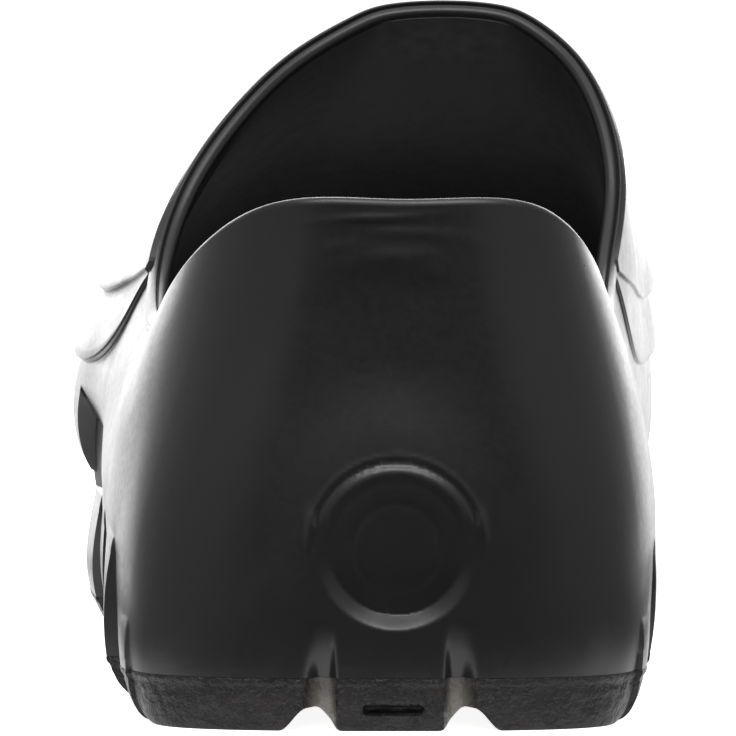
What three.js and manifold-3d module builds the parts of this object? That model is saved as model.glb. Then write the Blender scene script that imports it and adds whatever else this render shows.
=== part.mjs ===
// Closed-back chef clog, left shoe, size 42, in millimetres.
// The body is one foam moulding: upper, side walls and midsole in one. A rubber outsole is bonded under it,
// and a loose insole lies inside.
// +Y points to the toe, +X to the medial (big toe) side and +Z up.
// The origin is the centre of the heel's tread, on the floor.
import * as THREE from "three";
import { mergeVertices } from "three/addons/utils/BufferGeometryUtils.js";
import Module from "manifold-3d";

const wasm = await Module();
wasm.setup();

// Overall sizes
const LENGTH = 285; // heel to toe along the outsole's seam
const BALL_WIDTH = 102; // seam outline, across the ball
const HEEL_SEAT = 40; // from the heel's back to the origin
const BACK_HEIGHT = 79.6; // collar at the back of the heel
const SIDE_HEIGHT = 60.5; // collar at its lowest, beside the ankle
const THROAT_HEIGHT = 112.2; // collar at its highest, over the instep
const COLLAR_LENGTH = 117; // from the collar's back to its throat
const COLLAR_WIDTH = 80.5; // across the collar at its widest
const COLLAR_SETBACK = 8; // the collar's back edge, ahead of the heel's back

// Walls and layers
const RIM_WALL = 3.5; // thickness of the collar's edge
const WALL = 4.2; // thickness of the upper below it
const OUTSOLE_THICKNESS = 8;
const HEEL_STACK = 29; // footbed above the tread plane, at the heel
const TOE_STACK = 15.5; // the same, under the ball and toes
const INSOLE_THICKNESS = 4.5;
const INSOLE_EDGE = 2.5; // how far the insole's cupped edge stands above its middle
const GAP = 0.3; // between pieces that meet

// The outsole's underside
const TOE_SPRING = 11; // height of the tread's toe tip above the floor
const ARCH_RISE = 2.5; // height of the underside between heel and ball
const EDGE_ROUND = 9.5; // how far the side curls under the shoe
const HEEL_ROUND = 1.2; // the same at the heel's back
const HEEL_FLARE = 1.4; // how far the tread's back edge stands out behind the seam
const TREAD_DEPTH = 3.6;
const HEEL_CHANNEL_DEPTH = 2.4; // of the heel's lengthways channels
const CHANNEL_WIDTH = 4.6;
const HEEL_COLUMN = 24.4; // between the two lengthways channels of the heel
const HEEL_OFFSET = 0.7; // the heel's middle column, to the medial side

// Relief on the body
const BEAD_STEP = 0.45; // each of the two steps under the collar's bead, beside the ankle
const APRON_STEP = 1.5; // each of the two steps on the vamp
const LIP_STEP = 1; // how far the vamp's rear corner stands out beside the collar
const LEDGE_RUN = 0.07; // share of the profile over which the upper's lower edge comes out
const CREASE_DEPTH = 1.3; // the line between side wall and upper
const RIB_DEPTH = 3; // how far each side rib stands out at its rear face
const TROUGH_DEPTH = 1.1; // the soft trough up the back of the heel
const STEP_RUN = 0.35; // half the width of each step's face
const DISC_RADIUS = 13.5; // round seat on the back of the heel
const DISC_HEIGHT = 27.9; // its centre above the floor
const DISC_SIDE = 1.6; // its centre, to the medial side
const DISC_DEPTH = 1.2; // below the heel's surface, at its centre
const RING_DEPTH = 0.6; // of the ring round the disc
const RING_WIDTH = 3.2;
const NOTCH_TOP = 14; // where the two notches in the heel's back start
const NOTCH_REACH = 7; // how far they reach in at the floor
const NOTCH_SIDE = 10.8; // from the heel's middle column to each notch

// One row for each section, from the heel's back (0) to the toe tip (10).
// at: share of LENGTH. axis, lateral, medial: middle line and half widths, shares of BALL_WIDTH.
// collarAt: share of COLLAR_LENGTH. collarAxis, collarHalf: shares of COLLAR_WIDTH.
// back, throat: height over SIDE_HEIGHT, as shares of what BACK_HEIGHT and THROAT_HEIGHT have over it.
// leanOut, leanIn: how far the lateral and medial wall leans out, shares of BALL_WIDTH.
// rise: height of that lean, share of THROAT_HEIGHT.
// slopeOut, slopeIn: fall below the collar on the lateral and medial side, in degrees.
// reach: how far that slope holds, share of LENGTH.
// ledgeOut, ledgeIn: how far the upper's lower edge overhangs the side wall, shares of BALL_WIDTH.
// apron, plug: where the two steps of the vamp run ahead of its rear corner, shares of the way up to the collar.
// feather: height of the line between side wall and upper, share of THROAT_HEIGHT.
const SECTIONS = [
  { at: 0.0, axis: 0.0, lateral: 0.0, medial: 0.0, collarAt: 0.0, collarAxis: 0.037, collarHalf: 0.0,
    back: 1.0, throat: 0.0, leanOut: 0.012, leanIn: 0.012, rise: 0.21, slopeOut: 84, slopeIn: 84,
    reach: 0.084, ledgeOut: 0.0, ledgeIn: 0.0, apron: 0.45, plug: 0.6, feather: 0.19 },
  { at: 0.02, axis: 0.0, lateral: 0.335, medial: 0.33, collarAt: 0.04, collarAxis: 0.031, collarHalf: 0.262,
    back: 0.955, throat: 0.0, leanOut: 0.014, leanIn: 0.018, rise: 0.21, slopeOut: 83, slopeIn: 83,
    reach: 0.08, ledgeOut: 0.0, ledgeIn: 0.0, apron: 0.45, plug: 0.6, feather: 0.195 },
  { at: 0.104, axis: 0.0, lateral: 0.403, medial: 0.395, collarAt: 0.188, collarAxis: 0.006, collarHalf: 0.412,
    back: 0.41, throat: 0.0, leanOut: 0.045, leanIn: 0.036, rise: 0.18, slopeOut: 72, slopeIn: 78,
    reach: 0.07, ledgeOut: 0.003, ledgeIn: 0.003, apron: 0.45, plug: 0.6, feather: 0.215 },
  { at: 0.218, axis: 0.0, lateral: 0.417, medial: 0.411, collarAt: 0.41, collarAxis: -0.008, collarHalf: 0.458,
    back: 0.0, throat: 0.0, leanOut: 0.07, leanIn: 0.035, rise: 0.15, slopeOut: 58, slopeIn: 72,
    reach: 0.062, ledgeOut: 0.008, ledgeIn: 0.006, apron: 0.45, plug: 0.6, feather: 0.24 },
  { at: 0.344, axis: 0.0, lateral: 0.431, medial: 0.38, collarAt: 0.645, collarAxis: -0.0056, collarHalf: 0.478,
    back: 0.0, throat: 0.126, leanOut: 0.09, leanIn: 0.05, rise: 0.2, slopeOut: 56, slopeIn: 66,
    reach: 0.075, ledgeOut: 0.016, ledgeIn: 0.01, apron: 0.45, plug: 0.6, feather: 0.25 },
  { at: 0.474, axis: 0.0, lateral: 0.483, medial: 0.4, collarAt: 0.774, collarAxis: 0.0348, collarHalf: 0.4646,
    back: 0.0, throat: 0.41, leanOut: 0.115, leanIn: 0.05, rise: 0.33, slopeOut: 56, slopeIn: 62,
    reach: 0.085, ledgeOut: 0.032, ledgeIn: 0.014, apron: 0.42, plug: 0.55, feather: 0.245 },
  { at: 0.602, axis: 0.0, lateral: 0.515, medial: 0.455, collarAt: 0.863, collarAxis: 0.0776, collarHalf: 0.387,
    back: 0.0, throat: 0.678, leanOut: 0.142, leanIn: 0.045, rise: 0.4, slopeOut: 40, slopeIn: 44,
    reach: 0.185, ledgeOut: 0.046, ledgeIn: 0.018, apron: 0.42, plug: 0.55, feather: 0.24 },
  { at: 0.727, axis: 0.0, lateral: 0.494, medial: 0.481, collarAt: 0.93, collarAxis: 0.103, collarHalf: 0.297,
    back: 0.0, throat: 0.841, leanOut: 0.09, leanIn: 0.05, rise: 0.41, slopeOut: 33, slopeIn: 36,
    reach: 0.22, ledgeOut: 0.034, ledgeIn: 0.02, apron: 0.4, plug: 0.53, feather: 0.235 },
  { at: 0.842, axis: 0.006, lateral: 0.452, medial: 0.468, collarAt: 0.97, collarAxis: 0.118, collarHalf: 0.204,
    back: 0.0, throat: 0.94, leanOut: 0.055, leanIn: 0.05, rise: 0.44, slopeOut: 32, slopeIn: 33,
    reach: 0.265, ledgeOut: 0.02, ledgeIn: 0.018, apron: 0.36, plug: 0.5, feather: 0.245 },
  { at: 0.94, axis: 0.03, lateral: 0.328, medial: 0.325, collarAt: 0.992, collarAxis: 0.12, collarHalf: 0.1245,
    back: 0.0, throat: 0.986, leanOut: 0.03, leanIn: 0.03, rise: 0.46, slopeOut: 34, slopeIn: 34,
    reach: 0.315, ledgeOut: 0.014, ledgeIn: 0.014, apron: 0.33, plug: 0.48, feather: 0.265 },
  { at: 1.0, axis: 0.05, lateral: 0.0, medial: 0.0, collarAt: 1.0, collarAxis: 0.1217, collarHalf: 0.0,
    back: 0.0, throat: 1.0, leanOut: 0.028, leanIn: 0.028, rise: 0.5, slopeOut: 35, slopeIn: 35,
    reach: 0.335, ledgeOut: 0.012, ledgeIn: 0.012, apron: 0.32, plug: 0.47, feather: 0.275 },
];

// Ribs of the side wall, each from its rear face on: at is a share of LENGTH, tip a share of the feather height,
// outer and inner the depth on the lateral and medial side, shares of RIB_DEPTH.
const RIBS = [
  { at: 0.047, tip: 0.7, outer: 0.35, inner: 0.35 },
  { at: 0.116, tip: 1.1, outer: 0.95, inner: 0.35 },
  { at: 0.195, tip: 1.12, outer: 0.6, inner: 0.3 },
  { at: 0.335, tip: 0.95, outer: 0.8, inner: 0.6 },
  { at: 0.47, tip: 0.95, outer: 0.6, inner: 0.6 },
  { at: 0.62, tip: 0.92, outer: 0.5, inner: 0.5 },
];
const RIBS_END = 0.88; // share of LENGTH

// The tread's crossways channels: at is a share of LENGTH.
const CROSS_CHANNELS = [0.075, 0.215, 0.285, 0.5, 0.575, 0.65, 0.725, 0.8, 0.872];

// The forefoot's lengthways channels: from and to are shares of LENGTH, across a share of BALL_WIDTH.
const LONG_CHANNELS = [
  { from: 0.47, to: 0.88, across: -0.2 },
  { from: 0.47, to: 0.88, across: 0.2 },
];

// The vamp's rear corner and where its steps reach their full height, as row numbers. Behind the corner the
// steps run along the collar, at these shares of the way up.
const LIP_ROW = 4.1;
const VAMP_ROW = 5.4;
const BEAD_SHARES = { apron: 0.955, plug: 0.972 };

const LAST_ROW = SECTIONS.length - 1;
const TURN = 2 * LAST_ROW; // the shoe's whole outline, in rows: lateral side out, medial side back

// A smooth closed curve through values at whole numbers, even in its curvature.
function closedCurve(values) {
  const n = values.length;
  const after = (i) => (i + 1) % n;
  const before = (i) => (i + n - 1) % n;
  let slopes = new Array(n).fill(0);
  for (let pass = 0; pass < 60; pass++) {
    slopes = slopes.map((_, i) =>
      (3 * (values[after(i)] - values[before(i)]) - slopes[after(i)] - slopes[before(i)]) / 4);
  }
  return (u) => {
    const whole = Math.floor(u);
    const i = ((whole % n) + n) % n;
    const f = u - whole;
    const g = 1 - f;
    return values[i] * g * g * (1 + 2 * f) + values[after(i)] * f * f * (1 + 2 * g)
      + slopes[i] * f * g * g - slopes[after(i)] * f * f * g;
  };
}

// A column of the table as a closed curve round the shoe. pick gets the row and the side, -1 lateral and 1 medial.
function column(pick) {
  const values = [];
  for (let i = 0; i < TURN; i++) {
    const side = i <= LAST_ROW ? -1 : 1;
    values.push(pick(SECTIONS[i <= LAST_ROW ? i : TURN - i], side));
  }
  return closedCurve(values);
}

const outlineY = column((row) => row.at * LENGTH - HEEL_SEAT);
const outlineX = column((row, side) =>
  (row.axis + side * (side < 0 ? row.lateral : row.medial)) * BALL_WIDTH);
const collarY = column((row) => COLLAR_SETBACK + row.collarAt * COLLAR_LENGTH - HEEL_SEAT);
const collarX = column((row, side) => (row.collarAxis + side * row.collarHalf) * COLLAR_WIDTH);
const collarZ = column((row) => SIDE_HEIGHT + row.back * (BACK_HEIGHT - SIDE_HEIGHT)
  + row.throat * (THROAT_HEIGHT - SIDE_HEIGHT));
const leanOf = column((row, side) => (side < 0 ? row.leanOut : row.leanIn) * BALL_WIDTH);
const riseOf = column((row) => row.rise * THROAT_HEIGHT);
const slopeOf = column((row, side) => THREE.MathUtils.degToRad(side < 0 ? row.slopeOut : row.slopeIn));
const reachOf = column((row) => row.reach * LENGTH);
const apronOf = column((row) => row.apron);
const plugOf = column((row) => row.plug);
const ledgeOf = column((row, side) => (side < 0 ? row.ledgeOut : row.ledgeIn) * BALL_WIDTH);
const featherOf = column((row) => row.feather * THROAT_HEIGHT);

const { clamp, smoothstep, lerp } = THREE.MathUtils;

// Height of the tread's plane under the shoe: heel, arch, ball and toe spring.
function treadHeight(y) {
  const at = (y + HEEL_SEAT) / LENGTH;
  const arch = ARCH_RISE * smoothstep(at, 0.3, 0.36) * (1 - smoothstep(at, 0.43, 0.49));
  const spring = TOE_SPRING * Math.pow(clamp((at - 0.7) / 0.3, 0, 1), 1.8);
  return arch + spring;
}

// The seam between body and outsole, and the footbed inside the body.
function seamHeight(y) {
  const at = (y + HEEL_SEAT) / LENGTH;
  const spring = TOE_SPRING * Math.pow(clamp((at - 0.7) / 0.3, 0, 1), 1.8);
  return OUTSOLE_THICKNESS + spring;
}

function footbedHeight(y) {
  const at = (y + HEEL_SEAT) / LENGTH;
  const spring = TOE_SPRING * Math.pow(clamp((at - 0.7) / 0.3, 0, 1), 1.8);
  return lerp(HEEL_STACK, TOE_STACK, smoothstep(at, 0.2, 0.62)) + 0.8 * spring;
}

// The seam's outline in plan, with its outward direction.
function outline(u) {
  const h = 0.01;
  const dx = outlineX(u + h) - outlineX(u - h);
  const dy = outlineY(u + h) - outlineY(u - h);
  const size = Math.hypot(dx, dy);
  return { x: outlineX(u), y: outlineY(u), outX: -dy / size, outY: dx / size };
}

// The body's smooth form: a cubic from the seam (t = 0) up and over to the collar's edge (t = 1).
function form(u, t) {
  const foot = outline(u);
  const lean = leanOf(u);
  const seam = new THREE.Vector3(foot.x, foot.y, seamHeight(foot.y));
  const wall = seam.clone().add(new THREE.Vector3(foot.outX * lean, foot.outY * lean, riseOf(u)));
  const edge = new THREE.Vector3(collarX(u), collarY(u), collarZ(u));
  const away = new THREE.Vector3(wall.x - edge.x, wall.y - edge.y, 0).normalize();
  const slope = slopeOf(u);
  const fall = new THREE.Vector3(away.x * Math.cos(slope), away.y * Math.cos(slope), -Math.sin(slope));
  const shoulder = edge.clone().addScaledVector(fall, reachOf(u));
  const s = 1 - t;
  return seam.multiplyScalar(s * s * s)
    .addScaledVector(wall, 3 * s * s * t)
    .addScaledVector(shoulder, 3 * s * t * t)
    .addScaledVector(edge, t * t * t);
}

// Outward normal of the smooth form.
function formNormal(u, t) {
  const h = 1e-3;
  const low = clamp(t, h, 1 - h);
  const around = form(u + h, low).sub(form(u - h, low));
  const up = form(u, low + h).sub(form(u, low - h));
  return up.cross(around).normalize();
}

// The share of the way up at which the form reaches a height.
function shareAtHeight(u, height) {
  let low = 0;
  let high = 1;
  for (let pass = 0; pass < 30; pass++) {
    const middle = (low + high) / 2;
    if (form(u, middle).z < height) low = middle;
    else high = middle;
  }
  return (low + high) / 2;
}

// How far a rib stands out of the side wall: a saw tooth along the shoe that fades out upwards.
function ribOutset(x, y, z, featherZ) {
  const at = (y + HEEL_SEAT) / LENGTH;
  const next = RIBS.findIndex((rib) => at < rib.at);
  if (next === 0) return 0;
  const rib = RIBS[next < 0 ? RIBS.length - 1 : next - 1];
  const end = next < 0 ? RIBS_END : RIBS[next].at;
  const along = clamp((at - rib.at) / (end - rib.at), 0, 1);
  const base = seamHeight(y);
  const up = clamp((z - base) / (rib.tip * featherZ - base), 0, 1);
  return (x < 0 ? rib.outer : rib.inner) * RIB_DEPTH * (1 - along * along) * Math.pow(1 - up, 0.7);
}

// The soft trough up the back of the heel. It widens downwards, and a low hill fills it round the seat.
// From its edge inwards the depth nears the full one, with a faint edge at the top and a soft one lower down.
function heelTrough(point) {
  const drop = clamp((74 - point.z) / 45.5, 0, 1.2);
  const half = 12.8 + 9 * Math.pow(drop, 1.4);
  const soft = 0.35 + 2 * drop;
  const inside = soft * Math.log1p(Math.exp((half - Math.abs(point.x - HEEL_OFFSET)) / soft));
  const across = 1 - Math.exp(-inside / 4.5);
  const low = smoothstep(point.z, 16, 32);
  const behind = 1 - smoothstep(point.y + HEEL_SEAT, 12, 25);
  const hill = 1 - smoothstep(Math.hypot(point.x - DISC_SIDE, point.z - DISC_HEIGHT), 13.5, 27);
  return TROUGH_DEPTH * across * low * behind * (1 - hill);
}

// Row number of a place round the shoe, the same on both sides.
function rowOf(u) {
  return u <= LAST_ROW ? u : TURN - u;
}

// Height of the vamp's steps: 0 at the heel, 1 where they are full.
function vampShare(u) {
  return smoothstep(rowOf(u), LIP_ROW, VAMP_ROW);
}

// Where a step of the vamp runs: along the collar behind the vamp's rear corner, then quickly down and forward.
function stepShare(u, bead, along, run, power) {
  const past = Math.max(rowOf(u) - LIP_ROW, 0);
  return lerp(bead, along, 1 - Math.exp(-Math.pow(past / run, power)));
}

// How far the vamp's rear corner stands out, fading forward into the steps.
function lipOf(u) {
  return rowOf(u) > LIP_ROW ? LIP_STEP * (1 - vampShare(u)) : 0;
}

// How far the side wall and the crease stay back under the upper's lower edge.
function ledge(u, t, feather) {
  if (t < feather) return ledgeOf(u) * smoothstep(t, 0, feather);
  return ledgeOf(u) * Math.exp((feather - t) / LEDGE_RUN);
}

// A point on the body's outer skin with its relief. level counts the vamp's steps passed, 0 to 2.
function bodySkin(u, t, level, crease, feather) {
  const point = form(u, t);
  const step = lerp(BEAD_STEP * smoothstep(rowOf(u), 2.4, 3.8), APRON_STEP, vampShare(u));
  const layers = (level - 2 * t * t) * step + level / 2 * lipOf(u);
  const relief = layers - crease * CREASE_DEPTH - ledge(u, t, feather) - heelTrough(point);
  const foot = outline(u);
  const rib = ribOutset(foot.x, foot.y, point.z, featherOf(u));
  point.addScaledVector(formNormal(u, t), relief);
  point.x += foot.outX * rib;
  point.y += foot.outY * rib;
  return point;
}

// A point on the inner skin, a wall's thickness under the smooth form.
function insideSkin(u, t, wall) {
  return form(u, t).addScaledVector(formNormal(u, t), -wall);
}

// Row numbers round one side, closer at heel and toe, with a pair at each rib's rear face and the vamp's corner.
function sideRows() {
  const rows = [];
  const perRow = (i) => (i < 2 ? 6 : i === 4 ? 5 : i < LAST_ROW - 2 ? 4 : 5);
  for (let i = 0; i < LAST_ROW; i++) {
    for (let k = 0; k < perRow(i); k++) rows.push(i + k / perRow(i));
  }
  rows.push(LAST_ROW);
  const faces = RIBS.map((rib) => {
    let low = 0;
    let high = LAST_ROW;
    for (let pass = 0; pass < 40; pass++) {
      const middle = (low + high) / 2;
      if (outlineY(middle) < rib.at * LENGTH - HEEL_SEAT) low = middle;
      else high = middle;
    }
    return low;
  });
  faces.push(LIP_ROW);
  const half = 0.012;
  const kept = rows.filter((u) => faces.every((face) => Math.abs(u - face) > 0.09));
  for (const face of faces) kept.push(face - half, face + half);
  return kept.sort((a, b) => a - b);
}

const lateralRows = sideRows();
const medialRows = lateralRows.slice(1, -1).reverse().map((u) => TURN - u);
const AROUND = [...lateralRows, ...medialRows];

// A closed mesh from rings of points, closed across its first and last ring from side to side.
function closedMesh(rings) {
  const n = AROUND.length;
  const toe = lateralRows.length - 1;
  const positions = rings.flat().flatMap((p) => [p.x, p.y, p.z]);
  const faces = [];
  for (let j = 0; j + 1 < rings.length; j++) {
    for (let i = 0; i < n; i++) {
      const next = (i + 1) % n;
      const a = j * n + i;
      const b = j * n + next;
      faces.push(a, a + n, b + n, a, b + n, b);
    }
  }
  const across = (ring, up) => {
    const base = ring * n;
    for (let i = 0; i < toe; i++) {
      const a = base + i;
      const b = base + i + 1;
      const c = base + ((n - i - 1) % n);
      const d = base + ((n - i) % n);
      const corners = up ? [a, c, b, a, d, c] : [a, b, c, a, c, d];
      for (let k = 0; k < 6; k += 3) {
        const [p, q, r] = corners.slice(k, k + 3);
        if (p !== q && q !== r && p !== r) faces.push(p, q, r);
      }
    }
  };
  across(0, false);
  across(rings.length - 1, true);
  const geometry = new THREE.BufferGeometry();
  geometry.setAttribute("position", new THREE.Float32BufferAttribute(positions, 3));
  geometry.setIndex(faces);
  return geometry;
}

// A three.js geometry as a solid that can be cut, and back.
function solidOf(geometry) {
  const bare = geometry.clone();
  bare.deleteAttribute("normal");
  bare.deleteAttribute("uv");
  const merged = mergeVertices(bare, 1e-4);
  return new wasm.Manifold(new wasm.Mesh({
    numProp: 3,
    vertProperties: merged.attributes.position.array,
    triVerts: new Uint32Array(merged.index.array),
  }));
}

function geometryOf(solid) {
  const mesh = solid.getMesh();
  const geometry = new THREE.BufferGeometry();
  geometry.setAttribute("position", new THREE.Float32BufferAttribute(mesh.vertProperties, 3));
  geometry.setIndex(new THREE.Uint32BufferAttribute(mesh.triVerts, 1));
  geometry.computeVertexNormals();
  return geometry;
}

// The two notches up the back of the heel, deepest at the floor.
function heelNotches() {
  const side = new THREE.Shape();
  side.moveTo(-HEEL_SEAT - 8, -1);
  side.lineTo(-HEEL_SEAT + NOTCH_REACH, -1);
  side.lineTo(-HEEL_SEAT - 2.5, NOTCH_TOP);
  side.lineTo(-HEEL_SEAT - 8, NOTCH_TOP);
  return [-1, 1].map((way) => {
    const block = new THREE.ExtrudeGeometry(side, { depth: CHANNEL_WIDTH, bevelEnabled: false });
    // The shape's own x and y become the shoe's Y and Z, and its depth runs across the heel.
    block.applyMatrix4(new THREE.Matrix4().makeBasis(
      new THREE.Vector3(0, 1, 0), new THREE.Vector3(0, 0, 1), new THREE.Vector3(1, 0, 0)));
    block.translate(HEEL_OFFSET + way * NOTCH_SIDE - CHANNEL_WIDTH / 2, 0, 0);
    return block;
  });
}

// The round seat on the back of the heel: a shallow ring, and a deeper disc inside it.
function heelSeat() {
  const long = 20;
  const share = shareAtHeight(0, DISC_HEIGHT);
  const face = form(0, share);
  const normal = formNormal(0, share);
  const tilt = 0.5 * Math.atan2(normal.z, -normal.y);
  const seat = (radius, depth) => {
    const disc = new THREE.CylinderGeometry(radius, radius, long, 48);
    disc.translate(0, depth - long / 2, 0).rotateX(-tilt);
    return disc.translate(DISC_SIDE, face.y, DISC_HEIGHT);
  };
  return [seat(DISC_RADIUS, RING_DEPTH), seat(DISC_RADIUS - RING_WIDTH, DISC_DEPTH)];
}

// Rings of the body, from the seam over the collar's edge and down to the footbed.
function bodyRings() {
  const rings = [];
  const ring = (make) => rings.push(AROUND.map(make));
  const features = AROUND.map((u) => {
    const plan = form(u, 0);
    const rise = collarZ(u) - seamHeight(plan.y);
    const run = STEP_RUN / rise;
    return {
      feather: shareAtHeight(u, featherOf(u) + seamHeight(plan.y) - OUTSOLE_THICKNESS),
      apron: stepShare(u, BEAD_SHARES.apron, apronOf(u), 0.55, 1.3),
      plug: stepShare(u, BEAD_SHARES.plug, plugOf(u), 0.85, 1.2),
      run,
      creaseDepth: smoothstep(rowOf(u), 3.8, 5),
    };
  });
  const row = (share, level, crease = 0) => ring((u, i) => {
    const f = features[i];
    return bodySkin(u, share(f), level, crease * f.creaseDepth, f.feather);
  });
  const between = (from, to, k, n) => (f) => lerp(from(f), to(f), k / n);
  const atSeam = () => 0;
  const belowFeather = (f) => f.feather - 5 * f.run;
  const aboveFeather = (f) => f.feather + 5 * f.run;
  const belowApron = (f) => f.apron - f.run;
  const aboveApron = (f) => f.apron + f.run;
  const belowPlug = (f) => f.plug - f.run;
  const abovePlug = (f) => f.plug + f.run;
  const atCollar = () => 1;

  for (let k = 0; k <= 3; k++) row(between(atSeam, belowFeather, k, 3), 0);
  row((f) => f.feather, 0, 1);
  for (let k = 0; k <= 7; k++) row(between(aboveFeather, belowApron, k, 7), 0);
  for (let k = 0; k <= 3; k++) row(between(aboveApron, belowPlug, k, 3), 1);
  for (let k = 0; k <= 6; k++) row(between(abovePlug, atCollar, k, 6), 2);

  // The collar's rounded edge, then the inside down to the footbed.
  const edgeUp = (u) => form(u, 1).sub(form(u, 0.98)).normalize();
  for (const [across, over] of [[0.2, 0.3], [0.8, 0.3], [1, 0]]) {
    ring((u) => insideSkin(u, 1, across * RIM_WALL).addScaledVector(edgeUp(u), over * RIM_WALL));
  }
  const INNER_ROWS = 7;
  const footShare = AROUND.map((u) => {
    let low = 0;
    let high = 1;
    for (let pass = 0; pass < 30; pass++) {
      const middle = (low + high) / 2;
      const p = insideSkin(u, middle, WALL);
      if (p.z < footbedHeight(p.y)) low = middle;
      else high = middle;
    }
    return low;
  });
  for (let k = 1; k <= INNER_ROWS; k++) {
    ring((u, i) => {
      const t = lerp(1, footShare[i], 1 - Math.pow(1 - k / INNER_ROWS, 1.5));
      const p = insideSkin(u, t, lerp(RIM_WALL, WALL, smoothstep(k / INNER_ROWS, 0, 0.5)));
      if (k === INNER_ROWS) p.z = footbedHeight(p.y);
      return p;
    });
  }
  return rings;
}

const bodyRows = bodyRings();
const footRing = bodyRows[bodyRows.length - 1];

function makeBody() {
  let solid = solidOf(closedMesh(bodyRows));
  for (const cutter of [...heelNotches(), ...heelSeat()]) solid = solid.subtract(solidOf(cutter));
  return geometryOf(solid);
}

// Rubber outsole: its side carries on the body's ribs and curls under to the tread.
function makeOutsole() {
  const seam = AROUND.map((u) => {
    const foot = outline(u);
    const outset = ribOutset(foot.x, foot.y, seamHeight(foot.y), featherOf(u));
    return { ...foot, outset, round: lerp(HEEL_ROUND, EDGE_ROUND, smoothstep(foot.y + HEEL_SEAT, 0.5, 30)) };
  });
  const around = (inset, share) => seam.map((p) => {
    const flare = HEEL_FLARE * Math.pow(1 - share, 1.5) * (1 - smoothstep(p.y + HEEL_SEAT, 2, 12));
    const x = p.x + p.outX * (p.outset + flare - inset * p.round);
    const y = p.y + p.outY * (p.outset + flare - inset * p.round);
    const low = treadHeight(y);
    const high = seamHeight(p.y) - GAP;
    return new THREE.Vector3(x, y, lerp(low, high, share));
  });
  const rings = [
    around(2, 0),
    around(1, 0),
    around(0.62, 0.09),
    around(0.32, 0.31),
    around(0.14, 0.6),
    around(0, 1),
  ];
  let solid = solidOf(closedMesh(rings));
  for (const channel of [...treadChannels(), ...heelNotches()]) solid = solid.subtract(solidOf(channel));
  return geometryOf(solid);
}

// Channels between the lugs.
function treadChannels() {
  const wide = BALL_WIDTH + 20;
  const channels = CROSS_CHANNELS.map((at) => {
    const y = at * LENGTH - HEEL_SEAT;
    const block = new THREE.BoxGeometry(wide, CHANNEL_WIDTH, 2 * TREAD_DEPTH);
    return block.translate(0, y, treadHeight(y));
  });
  const heelFront = 0.33 * LENGTH - HEEL_SEAT;
  for (const way of [-1, 1]) {
    const long = heelFront + HEEL_SEAT + 10;
    const block = new THREE.BoxGeometry(CHANNEL_WIDTH, long, 2 * HEEL_CHANNEL_DEPTH);
    channels.push(block.translate(HEEL_OFFSET + way * HEEL_COLUMN / 2, heelFront - long / 2, 0));
  }
  for (const row of LONG_CHANNELS) {
    const long = (row.to - row.from) * LENGTH;
    const block = new THREE.BoxGeometry(CHANNEL_WIDTH, long, 2 * TREAD_DEPTH);
    channels.push(block.translate(row.across * BALL_WIDTH, row.from * LENGTH + long / 2 - HEEL_SEAT, 0));
  }
  return channels;
}

// Loose insole, cupped at its edge, inside the body's wall with a gap all round.
function makeInsole() {
  const atWall = (lift, inset) => AROUND.map((u) => {
    let low = 0;
    let high = 1;
    for (let pass = 0; pass < 30; pass++) {
      const middle = (low + high) / 2;
      const p = insideSkin(u, middle, WALL);
      if (p.z < footbedHeight(p.y) + lift) low = middle;
      else high = middle;
    }
    const p = insideSkin(u, low, WALL);
    const normal = formNormal(u, low).setZ(0).normalize();
    const q = p.addScaledVector(normal, -inset);
    q.z = footbedHeight(q.y) + lift;
    return q;
  });
  const top = INSOLE_THICKNESS + INSOLE_EDGE;
  const rings = [
    atWall(GAP, 8),
    atWall(GAP, 2),
    atWall(top / 2, 3 * GAP),
    atWall(top, 3 * GAP),
    atWall(top, 3 * GAP + 2),
    atWall(INSOLE_THICKNESS, 10),
  ];
  return geometryOf(solidOf(closedMesh(rings)));
}

function makeMesh(name, geometry, color, roughness) {
  const mesh = new THREE.Mesh(geometry, new THREE.MeshStandardMaterial({ color, roughness, metalness: 0 }));
  mesh.name = name;
  return mesh;
}

const clog = new THREE.Group();
clog.add(makeMesh("upper", makeBody(), 0x1d1d1e, 0.32));
clog.add(makeMesh("outsole", makeOutsole(), 0x1b1918, 0.75));
clog.add(makeMesh("insole", makeInsole(), 0x18181a, 0.85));

export default clog;
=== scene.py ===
"""Looks of a closed-back chef clog, left shoe, seen from behind.

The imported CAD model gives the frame. This script lofts the same form from the same table of sections, much
finer, adds the low relief and the materials, and sets the floor, the lights and the camera.
Lengths are in millimetres until a mesh is written in metres. +Y points to the toe, +X to the medial side and
+Z up. The origin is the centre of the heel's tread, on the floor.
"""

from __future__ import annotations

import logging
from dataclasses import dataclass
from enum import Enum
from typing import Callable, ClassVar, Sequence

import bmesh
import bpy
import numpy as np
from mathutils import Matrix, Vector

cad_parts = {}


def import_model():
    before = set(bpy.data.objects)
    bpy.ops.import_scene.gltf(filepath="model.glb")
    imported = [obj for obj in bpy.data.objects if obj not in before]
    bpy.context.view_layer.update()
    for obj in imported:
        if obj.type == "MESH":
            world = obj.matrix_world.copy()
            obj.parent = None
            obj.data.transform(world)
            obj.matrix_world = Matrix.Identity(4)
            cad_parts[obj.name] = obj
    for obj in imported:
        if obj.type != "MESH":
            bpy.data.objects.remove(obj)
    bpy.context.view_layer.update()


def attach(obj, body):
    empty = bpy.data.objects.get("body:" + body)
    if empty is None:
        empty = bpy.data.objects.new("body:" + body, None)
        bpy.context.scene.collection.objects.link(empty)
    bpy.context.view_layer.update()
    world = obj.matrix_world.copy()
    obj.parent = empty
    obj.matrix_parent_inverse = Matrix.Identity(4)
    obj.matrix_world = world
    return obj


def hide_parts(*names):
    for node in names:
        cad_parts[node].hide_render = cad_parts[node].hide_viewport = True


LOG = logging.getLogger("chef_clog")
MM = 0.001

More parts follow.
